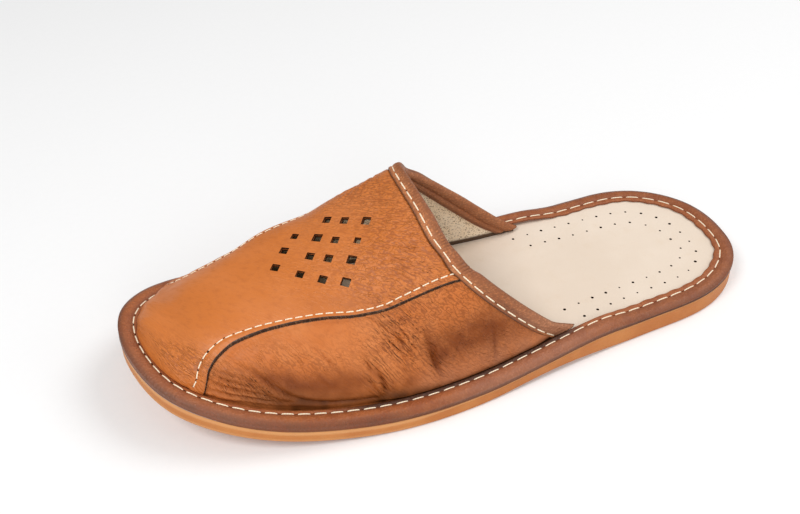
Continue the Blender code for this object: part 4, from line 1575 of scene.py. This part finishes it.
def collar_place(share, lift):
    """Points of the collar at shares of its width and lifts in metres, and normals."""
    step = np.arange(len(COLLAR_PATH))
    row = (share - COLLAR_SHARES[0]) / (COLLAR_SHARES[1] - COLLAR_SHARES[0])
    row = np.clip(row, 0, len(COLLAR_SHARES) - 1.001)
    i = row.astype(int)
    a = (row - i)[:, None]
    point = COLLAR_BAND[i, step] * (1 - a) + COLLAR_BAND[i + 1, step] * a
    normal = unit(COLLAR_NORMALS[i, step] * (1 - a) + COLLAR_NORMALS[i + 1, step] * a)
    return point + normal * lift[:, None], normal


def collar_top():
    """Level of the binding's outer face: higher where it lies over the panel."""
    return (-0.35 + 0.75 * span(-0.03, 0.05, 0.95, 1.03, COLLAR_ACROSS)) * MM


def build_collar():
    """Folded strip over the lip of the throat: flat band, rolled rim and two rolls inside."""
    across, path = COLLAR_ACROSS, COLLAR_PATH
    level = 0.0 * path
    top = collar_top() / MM
    strong = 0.35 + 0.9 * bell(across - 0.10, 0.12) + 0.35 * bell(across - 0.7, 0.25)
    wander = 1.1 * lattice_noise(path, level, 9.0, 21)
    pleat = np.sin(math.tau * (path / PLEAT_PITCH + wander))
    pleat *= 0.6 + 0.4 * lattice_noise(path, level + 5, 4.0, 22)
    notch = 0.35 * bell(across - 0.005, 0.022)
    shoulder = 0.5 * bell(across + 0.055, 0.035)
    flare = 1 - ease(0.0, 0.19, across + 1)
    lower = 1 - ease(0.0, 0.7, across + 1)
    rows = [(1 - far / COLLAR_WIDTH, top + lift, 0.0) for far, lift in COLLAR_PROFILE]
    rows += [(level + share, top + lift, 0.0) for share, lift in COLLAR_RIM]
    for share, lift in COLLAR_ROLLS:
        share = ROLL_START + (share - ROLL_START) * ROLL_STRETCH
        rows.append((level + share, -1.0 + (lift + 1.0) * (1 - 0.55 * flare), 1.0))
    columns, layers = [], {"skin": [], "mask": [], "dirt": []}
    for share, lift, under in rows:
        band = np.clip((0.74 - share) / 0.2, 0, 1) * (share > -0.125)
        lift = lift + PLEAT_DEPTH * strong * pleat * band * (1 if lift.mean() > -3.2 else 0.5)
        soft = 0.12 * lattice_noise(path, share * 30, 6.0, 23)
        share = share + (0.10 * notch - 0.05 * shoulder) * np.clip(0.5 - share, 0, 0.6)
        share = share - 0.13 * ease(1.15, 1.45, across) * np.clip(0.55 - share, 0, 0.68)
        share = share - 0.62 * flare**1.5 * np.clip(0.55 - share, 0, 0.68)
        lift = lift + soft * band - 0.5 * notch * np.clip(0.6 - share, 0, 0.6)
        columns.append(collar_place(share, lift * MM)[0])
        from_edge = (1 - share) * COLLAR_WIDTH
        # Painted shade: darker inside the rolls, in the pleats' troughs, low on the lateral side
        # and towards the rim, less so at the lateral end
        dark = 0.05 + 0.40 * under + 0.35 * np.clip(-pleat, 0, 1) * strong * band
        dark = dark + 0.7 * bell(across + 0.5, 0.38) * (share > 0.3) * (1 - under)
        near_rim = np.clip((0.62 - share) / 0.5, 0, 1) * (1 - under)
        dark = np.clip(dark + (0.55 - 0.6 * lower) * near_rim, 0, 1)
        # painted sheen on the lateral lower end, outside the rolls
        painted_sheen = lower * (share < 0.75) * (1 - under)
        layers["skin"].append(np.stack([path, from_edge + ROLL_PATH * under], -1))
        layers["mask"].append(np.stack([dark, level], -1))
        layers["dirt"].append(np.stack([0.9 * bell(from_edge, 0.6), painted_sheen], -1))
    made = tube("collar_binding_leather", columns, layers, 60, 0)
    cap_ends(made)
    piece(made, COLLAR, ("collar_binding",))


# ---------------------------------------------------------------- rand
WELT_STEP = 0.6
WELT_JOIN = 0.69  # share of the way round from the toe: the ends meet at the medial waist
WELT_SECTION = (
    # out from the stitch line, height: share of the flap's top, and millimetres added
    (1.00, 0.0, 0.30),
    (3.50, 0.0, 0.28),
    (5.40, 0.0, 0.28),
    (6.40, 0.0, 0.28),
    (6.52, 0.0, 0.42),
    (6.50, 0.0, 0.62),
    (6.34, 0.0, 0.78),
    (6.40, 0.35, 0.15),
    (6.40, 0.60, 0.00),
    (6.25, 0.85, -0.25),
    (5.80, 1.0, -0.55),
    (5.10, 1.0, -0.05),
    (4.20, 1.0, 0.32),
    (3.20, 1.0, 0.48),
    (2.20, 1.0, 0.42),
    (1.30, 1.0, 0.22),
    (0.60, 1.0, -0.06),
    (0.00, 1.0, -0.26),
    (-0.60, 1.0, -0.06),
)
WELT_INNER = (
    # share of the way from the stitch line to the inner edge, millimetres over the top
    (0.48, 0.10),
    (0.72, 0.10),
    (0.88, -0.02),
    (0.97, -0.28),
    (1.00, -0.60),
    (0.99, -0.86),
    (0.60, -0.90),
    (0.00, -0.90),
)
WELT_EDGE = 6.45  # the section's outer edge, out from the stitch line
# Painted shade in the rand's groove, deepest nearest the upper
GROOVE_SHADE = ((-0.2, 1.0), (0.3, 0.75), (0.7, 0.25))  # nearer than, how much
STITCH_LINE = Outline(STITCH_INSET)


def welt_levels(x):
    """Height of the flap's underside over the sole, and its reach inside the stitches."""
    behind = ease(*WELT_FALL, x / LENGTH)
    under = INSOLE_TOP + GAP + (WALL + GAP) * (1 - behind)
    reach = FLAP_INSET + (HEEL_FLAP_INSET - FLAP_INSET) * behind - STITCH_INSET
    return under / MM, reach / MM


def welt_phase(share):
    """Stitches sewn by each share of the way round, shorter at the toe than at the heel."""
    at = np.linspace(0, 1, 2001)
    dense = 1 / (1 - WELT_SWAY * np.cos(math.tau * at))
    sewn = np.concatenate([[0.0], np.cumsum((dense[1:] + dense[:-1]) / 2)])
    count = round(STITCH_LINE.path[-1] / MM / WELT_SEWING[0])
    return count * np.interp(share, at, sewn / sewn[-1])


def build_welt():
    """Rolled rand round the whole sole, drawn in at every stitch."""
    length = STITCH_LINE.path[-1]
    count = int(length / (WELT_STEP * MM))
    turn = WELT_JOIN + np.arange(count + 1) / count
    points, outward = STITCH_LINE.at(turn * length)
    x, medial = points[:, 0] / MM, outward[:, 1]
    level = 0.0 * x
    under, reach = welt_levels(points[:, 0])
    top = under + WELT_FLAP / MM
    pull = np.cos(math.tau * welt_phase(turn % 1.0))
    circle = length / MM / math.tau
    ring = circle * np.cos(math.tau * turn), circle * np.sin(math.tau * turn)
    wave = lattice_noise(*ring, 6.5, 31)
    coarse = lattice_noise(*ring, 21.0, 32)
    pleat = np.clip(lattice_noise(*ring, 1.7, 33), 0.15, 1) - 0.15
    behind = ease(*WELT_FALL, points[:, 0] / LENGTH)
    rows = []
    for out, share, extra in WELT_SECTION:
        crown = np.clip(1 - abs(out - 3.0) / 3.6, 0, 1) * share
        height = share * top + extra - 0.08 * pull * max(1 - abs(out), 0)
        height = height + crown * (0.10 * wave - 0.30 * pleat * (0.4 + behind) + 0.05 * coarse)
        rows.append((out + 0.10 * wave * (out > 4) * (share > 0), height, out, share))
    for share, extra in WELT_INNER:
        inner = reach + 0.18 * (1 - behind) + 0.25 * (wave - pull) * behind * share
        rows.append((-share * inner, top + extra + 0.04 * wave * (share < 0.95), -share, 1.0))
    near_side = ease(-0.55, 0.55, -medial)
    lateral = ease(90, 110, x) * near_side
    # where the groove's painted shade lies, on the lateral side
    groove = span(68, 92, 184, 197, x) * (medial < 0)
    # painted sheen, pale, on the lateral side behind the ball and at the front of the toe
    painted_sheen = 0.7 * lateral * ease(112, 142, x) * (1 - 0.7 * ease(178, 214, x))
    painted_sheen = painted_sheen + 0.4 * near_side * (1 - ease(30, 66, x))
    columns, layers = [], {"skin": [], "mask": [], "dirt": []}
    drawn = 0.0
    for aside, height, out, share in rows:
        place = points + outward * (aside * MM)[:, None]
        columns.append(np.column_stack([place, sole_top(place[:, 0]) + height * MM]))
        if len(columns) > 1:
            steps = np.linalg.norm(columns[-1] - columns[-2], axis=1)
            drawn += float(np.mean(steps)) / MM
        outside = 1.0 < out < WELT_EDGE
        # Painted shade: the rand darkens over its outer crown, down its outer side, by its
        # stitches and on its flap inside them, less on the lateral back part
        low = ease(3.4, 6.0, out) if share > 0.5 else 1.0
        low = low * (0.85 + 0.25 * coarse) + 0.45 * bell(out - 0.5, 0.7) * (share == 1)
        low = low * (1 - 0.75 * lateral * (1 - 0.6 * behind))
        dark = np.clip(low + (0.5 if out < -0.9 else 0.0), 0, 1)
        worn = float(out > WELT_EDGE) * np.clip(0.75 + coarse, 0, 1) * (1 - lateral)
        # painted shade in the groove, a thin dark line along the rand's lower edge on the
        # lateral back part, and a darker outer face towards the heel
        deep = next((much for edge, much in GROOVE_SHADE if out < edge), 0.0)
        dirt = groove * deep * (share == 1)
        dirt = dirt + lateral * (0.55 if out > 6.3 and share < 0.5 else 0.0)
        dirt = dirt + 0.15 * ease(186, 222, x) * outside
        layers["skin"].append(np.column_stack([turn * length / MM, level + drawn]))
        layers["mask"].append(np.column_stack([dark, worn]))
        layers["dirt"].append(np.column_stack([dirt, painted_sheen * outside]))
    made = tube("welt_binding_leather", columns, layers, 70)
    piece(made, WELT, ("welt_binding",))


# ---------------------------------------------------------------- sole and insole
OUTSOLE_LEVELS = (
    # inset, share of the wall's height, millimetres added, worn, painted shade, length round the
    # section
    (9.0, 0.0, 0.0, 0.0, 1.0, 0),
    (2.2, 0.0, 0.0, 0.0, 1.0, 7),
    (1.2, 0.0, 0.0, 0.0, 1.0, 8),
    (0.55, 0.0, 0.15, 0.2, 1.0, 8.6),
    (0.15, 0.0, 0.55, 0.5, 0.8, 9.2),
    (0.00, 0.0, 1.10, 0.2, 0.5, 9.8),
    (0.08, 0.35, 0.0, 0.0, 0.2, 11.5),
    (0.10, 0.60, 0.0, 0.0, 0.0, 13),
    (0.02, 1.0, -0.90, 0.3, 0.0, 14.5),
    (0.00, 1.0, -0.35, 0.8, 0.0, 15.1),
    (0.18, 1.0, -0.08, 1.0, 0.0, 15.5),
    (0.60, 1.0, 0.0, 0.6, 0.0, 16),
    (9.0, 1.0, 0.0, 0.0, 0.0, 24),
)
WALL_START = 9.5  # length round the section where its upright wall begins
PIN_ROWS = (
    # share of the way round the heel from lateral to medial, outer inset, inner inset
    (0.00, 13.9, 22.0),
    (0.13, 15.9, 22.8),
    (0.28, 15.6, 23.2),
    (0.38, 17.6, 24.2),
    (0.50, 19.0, 26.6),
    (0.62, 18.2, 26.8),
    (0.75, 17.0, 25.6),
    (0.88, 15.5, 24.4),
    (1.00, 17.6, 25.0),
)
PIN_START = 0.236
PIN_END = 0.482
PIN_PITCH = 7.85
PIN_RADIUS = 0.72
PIN_SPANS = ((0.0, 1.0), (-0.02, 0.955))  # of the outer and of the inner row
PIN_DEPTH = 0.0020


def build_outsole():
    """Moulded sole: rounded lower edge with painted shade, slightly hollow wall and a worn upper
    edge.
    """
    edge = Outline()
    columns, layers = [], {"skin": [], "mask": []}
    for side, line in enumerate((edge.lateral, edge.medial)):
        path = lengths(line) / MM * (1 - 2 * side)
        for inset, share, extra, worn, low, height in OUTSOLE_LEVELS[:: 1 - 2 * side]:
            outline = Outline(inset * MM)
            x = outline.start + rounded_shares(420) * (outline.end - outline.start)
            z = underside(x) + share * (sole_top(x) - underside(x)) + extra * MM
            columns.append(np.stack([x, outline.sides(x)[side], z], 1))
            front = 0.6 * (1 - ease(100, 150, x / MM)) * (height > WALL_START)
            around = edge.along_side(x, line, path)
            layers["skin"].append(np.column_stack([around, np.full_like(x, height)]))
            worn = np.clip(worn + front, 0, 1)
            layers["mask"].append(np.column_stack([worn, np.full_like(x, low)]))
    made = tube("outsole_moulding", columns, layers, 60)
    piece(made, RUBBER, ("outsole",))


def pin_places():
    """Middles of the pin holes: two rows round the heel at an even pitch."""
    places = []
    for k, (start, end) in enumerate(PIN_SPANS, 1):
        share = np.linspace(start, end, 1500)
        points, outward = Outline().at(PIN_START + (PIN_END - PIN_START) * share)
        line = points - outward * read(PIN_ROWS, k, share)[:, None] * MM
        path = lengths(line)
        places += list(at_lengths(np.arange(0.0, path[-1], PIN_PITCH * MM), path, line))
    return places


def pin_cutter():
    """Prisms for the pin holes, each of its own radius."""
    rng = np.random.default_rng(5)
    prisms = []
    for x, y in pin_places():
        place = Matrix.Translation((x - LENGTH / 2, y, float(sole_top(x)) + INSOLE_TOP))
        prisms.append((PIN_RADIUS * MM * rng.uniform(0.6, 1.05), place))
    # the holes' walls take the near black of painted shade
    return prisms_object("pin cutter", prisms, 14, PIN_DEPTH, HOLE)


def build_insole():
    """Insole board under its leather, with real pin holes round the heel."""
    edge = Outline(INSOLE_INSET)
    share = 0.0002 + rounded_shares(200) * (1 - 0.0004)
    x = edge.start + share * (edge.end - edge.start)
    lateral, medial = edge.sides(x)
    y = lateral[:, None] + (medial - lateral)[:, None] * np.linspace(0, 1, 60)
    x = np.broadcast_to(x[:, None], y.shape)
    wave = 0.05 * lattice_noise(x / MM, y / MM + 80, 14.0, 41) * MM
    top = np.stack([x, y, sole_top(x) + INSOLE_TOP + wave], -1)
    low = np.stack([x, y, sole_top(x) + GAP], -1)
    pair = np.stack([x / MM, y / MM], -1)
    made = shell("insole_leather_board", top, low, {"skin": pair, "mask": pair * 0})
    cutter = pin_cutter()
    cut(made, cutter, INSOLE)
    bpy.data.objects.remove(cutter)
    piece(made, INSOLE, ("insole",))


# ---------------------------------------------------------------- stitches
THREAD_RINGS = np.array((0.0, 0.06, 0.13, 0.24, 0.40, 0.60, 0.76, 0.87, 0.94, 1.0))
THREAD_SIDES = 8
THREAD_WOBBLE = 0.06  # millimetres to either side
THREAD_LEAN, THREAD_BOW = 0.08, 0.10  # shares of its radius
THREAD_FLAT = (1.08, 0.88)  # width and height in radii
EYE_SHAPE = (1.25, 0.9)  # half length and half width in the hole's radii
EYE_SINK, EYE_RISE = 0.02, 0.05  # of its middle and of its edge, in millimetres
EYE_SIDES = 8


def thread_mesh(name, starts, ends, normals, radius):
    """Short lengths of thread, each dipping into the leather at both ends."""
    points, faces, uvs = [], [], []
    angles = np.arange(THREAD_SIDES) * math.tau / THREAD_SIDES
    rng = np.random.default_rng(len(starts))
    for start, end, normal in zip(starts, ends, normals):
        along = end - start
        length = np.linalg.norm(along)
        along /= length
        aside = np.cross(normal, along)
        wobble = rng.uniform(-THREAD_WOBBLE, THREAD_WOBBLE) * MM
        rings = grid_faces(len(THREAD_RINGS), THREAD_SIDES, wrap=True)
        faces.append(rings + len(points) * THREAD_SIDES)
        for t in THREAD_RINGS:
            far = abs(2 * t - 1)
            rise = radius * MM * (0.75 - 0.15 * far) - (THREAD_DIP * MM) * far**8
            drift = THREAD_LEAN * (2 * t - 1) + THREAD_BOW * (1 - far)
            drift = radius * MM * drift + wobble
            middle = start + along * length * t + normal * rise + aside * drift
            size = radius * MM * (1 - 0.18 * far**4)
            wide, high = aside * THREAD_FLAT[0], normal * THREAD_FLAT[1]
            ring = [math.cos(a) * wide + math.sin(a) * high for a in angles]
            points.append(middle + size * np.array(ring))
            uvs.append([(t * length / MM, a / math.tau * 6 * radius) for a in angles])
    layers = {"skin": np.reshape(uvs, (-1, 2))}
    made = mesh_object(name, np.reshape(points, (-1, 3)), np.vstack(faces), layers)
    return finish_mesh(made, 80, 0)


def hole_mesh(name, middles, alongs, normals, radius):
    """Small dark eyes where the needle went through, one between each two stitches: painted
    shade in the holes.
    """
    points, faces = [], []
    sides = np.arange(EYE_SIDES)
    for middle, along, normal in zip(middles, alongs, normals):
        aside = np.cross(normal, along)
        base = len(points)
        points.append(middle - normal * EYE_SINK * MM)
        long, wide = EYE_SHAPE[0] * along, EYE_SHAPE[1] * aside
        for a in math.tau * sides / EYE_SIDES:
            spoke = math.cos(a) * long + math.sin(a) * wide
            points.append(middle + radius * MM * spoke + normal * EYE_RISE * MM)
        faces += [(base, base + 1 + k, base + 1 + (k + 1) % EYE_SIDES) for k in sides]
    return finish_mesh(mesh_object(name, np.array(points), faces), 80, 0)


def sew(name, line, normals, sewing, phase=None):
    """Stitches along a fine polyline of surface points, and their needle holes."""
    pitch, share, radius, hole = sewing
    if phase:
        line, normals = (np.vstack([values, values[:1]]) for values in (line, normals))
    path = lengths(line) / MM

    def at(where):
        """Points and normals at lengths along the line."""
        return at_lengths(where, path, line), unit(at_lengths(where, path, normals))

    if phase:
        sewn = phase(path / path[-1])
        marks = np.interp(np.arange(round(sewn[-1]) + 1), sewn, path)
    else:
        count = round(path[-1] / pitch)
        marks = path[-1] * np.arange(count + 1) / count
    rest = np.diff(marks) * (1 - share) / 2
    first, last = at(marks[:-1] + rest)[0], at(marks[1:] - rest)[0]
    up = at((marks[:-1] + marks[1:]) / 2)[1]
    piece(thread_mesh(name, first, last, up, radius), THREAD)
    middles, up = at(marks)
    ahead, behind = (at(np.clip(marks + step, 0, path[-1]))[0] for step in (0.3, -0.3))
    piece(hole_mesh(name + "_eyes", middles, unit(ahead - behind), up, hole), HOLE)


def sew_seams():
    """Stitches along both edges of the front panel."""
    for side, name in ((0, "lateral"), (1, "medial")):
        end = throat((side,), 0.97)[0]
        line = seam_line(side, 1.0)
        line = line[(line[:, 1] > 0.9) & (line[:, 0] * MM < end)]
        x, arc = line[:, 0] * MM, line[:, 1] * MM
        if side:
            arc = girth(x) - arc
        line, normals = on_upper(x, turn_from_arc(x, arc))
        sew("seam_stitches_" + name, line, normals, SEAM_SEWING)


def sew_collar():
    """Stitches along the front edge of the collar's binding."""
    share = 1 - COLLAR_STITCH / COLLAR_WIDTH
    line, normals = collar_place(share, collar_top() - 0.0003)
    sew("collar_stitches", line, normals, COLLAR_SEWING)


def sew_welt():
    """Stitches round the rand, in its groove."""
    path = np.linspace(0, STITCH_LINE.path[-1], 1400, endpoint=False)
    points, _ = STITCH_LINE.at(path)
    x, y = points.T
    under, _ = welt_levels(x)
    z = sole_top(x) + (under - 0.30) * MM + WELT_FLAP
    z -= 0.12 * MM * (y < 0) * span(88, 106, 184, 197, x / MM)
    line = np.column_stack([points, z])
    normals = np.tile((0.0, 0.0, 1.0), (len(line), 1))
    sew("welt_stitches", line, normals, WELT_SEWING, welt_phase)


# ---------------------------------------------------------------- studio
FLOOR_HALF = 6.0
SURROUNDINGS = 0.362
LENS, SENSOR = 49.5, 36.0
CAMERA_PLACE = (-0.15380, -0.34335, 0.34660)
CAMERA_DOWN, CAMERA_ROUND = 50.5, -20.75  # degrees: up from straight down, and round
LIGHT_AIM = (0.0, 0.0, 0.02)
LIGHTS = (
    # name, place, size, power
    ("key", (-0.70, -0.35, 1.05), 0.5, 7.0),
    ("top", (0.65, 0.05, 1.00), 0.7, 5.2),
    ("front", (-0.25, -1.10, 0.60), 0.7, 3.0),
    ("side", (0.90, -0.70, 0.60), 0.7, 1.8),
)


def build_studio():
    """Pale floor, even surroundings, four soft lights and the camera of the photo."""
    mesh = bpy.data.meshes.new("floor")
    signs = ((-1, -1), (1, -1), (1, 1), (-1, 1))
    mesh.from_pydata([(FLOOR_HALF * x, FLOOR_HALF * y, 0) for x, y in signs], [], [range(4)])
    mesh.materials.append(floor_paper())
    new_object("floor", mesh)

    world = bpy.data.worlds.new("studio")
    world.use_nodes = True
    surroundings = world.node_tree.nodes["Background"].inputs
    surroundings["Color"].default_value = (1, 1, 1, 1)
    surroundings["Strength"].default_value = SURROUNDINGS
    bpy.context.scene.world = world
    for name, place, size, power in LIGHTS:
        data = bpy.data.lights.new(name, "AREA")
        data.shape = "DISK"
        data.size = size
        data.energy = power
        made = new_object(name, data)
        made.location = place
        aim = Vector(LIGHT_AIM) - Vector(place)
        made.rotation_euler = aim.to_track_quat("-Z", "Y").to_euler()
    bpy.context.scene.view_settings.view_transform = "Standard"

    data = bpy.data.cameras.new("camera")
    data.lens = LENS
    data.sensor_width = SENSOR
    camera = new_object("camera", data)
    camera.location = CAMERA_PLACE
    camera.rotation_euler = (math.radians(CAMERA_DOWN), 0.0, math.radians(CAMERA_ROUND))
    bpy.context.scene.camera = camera


build_studio()
lattice = lattice_cutter()
build_vamp(lattice)
build_side(lattice)
build_lining(lattice)
bpy.data.objects.remove(lattice)
build_collar()
build_welt()
build_outsole()
build_insole()
sew_seams()
sew_collar()
sew_welt()
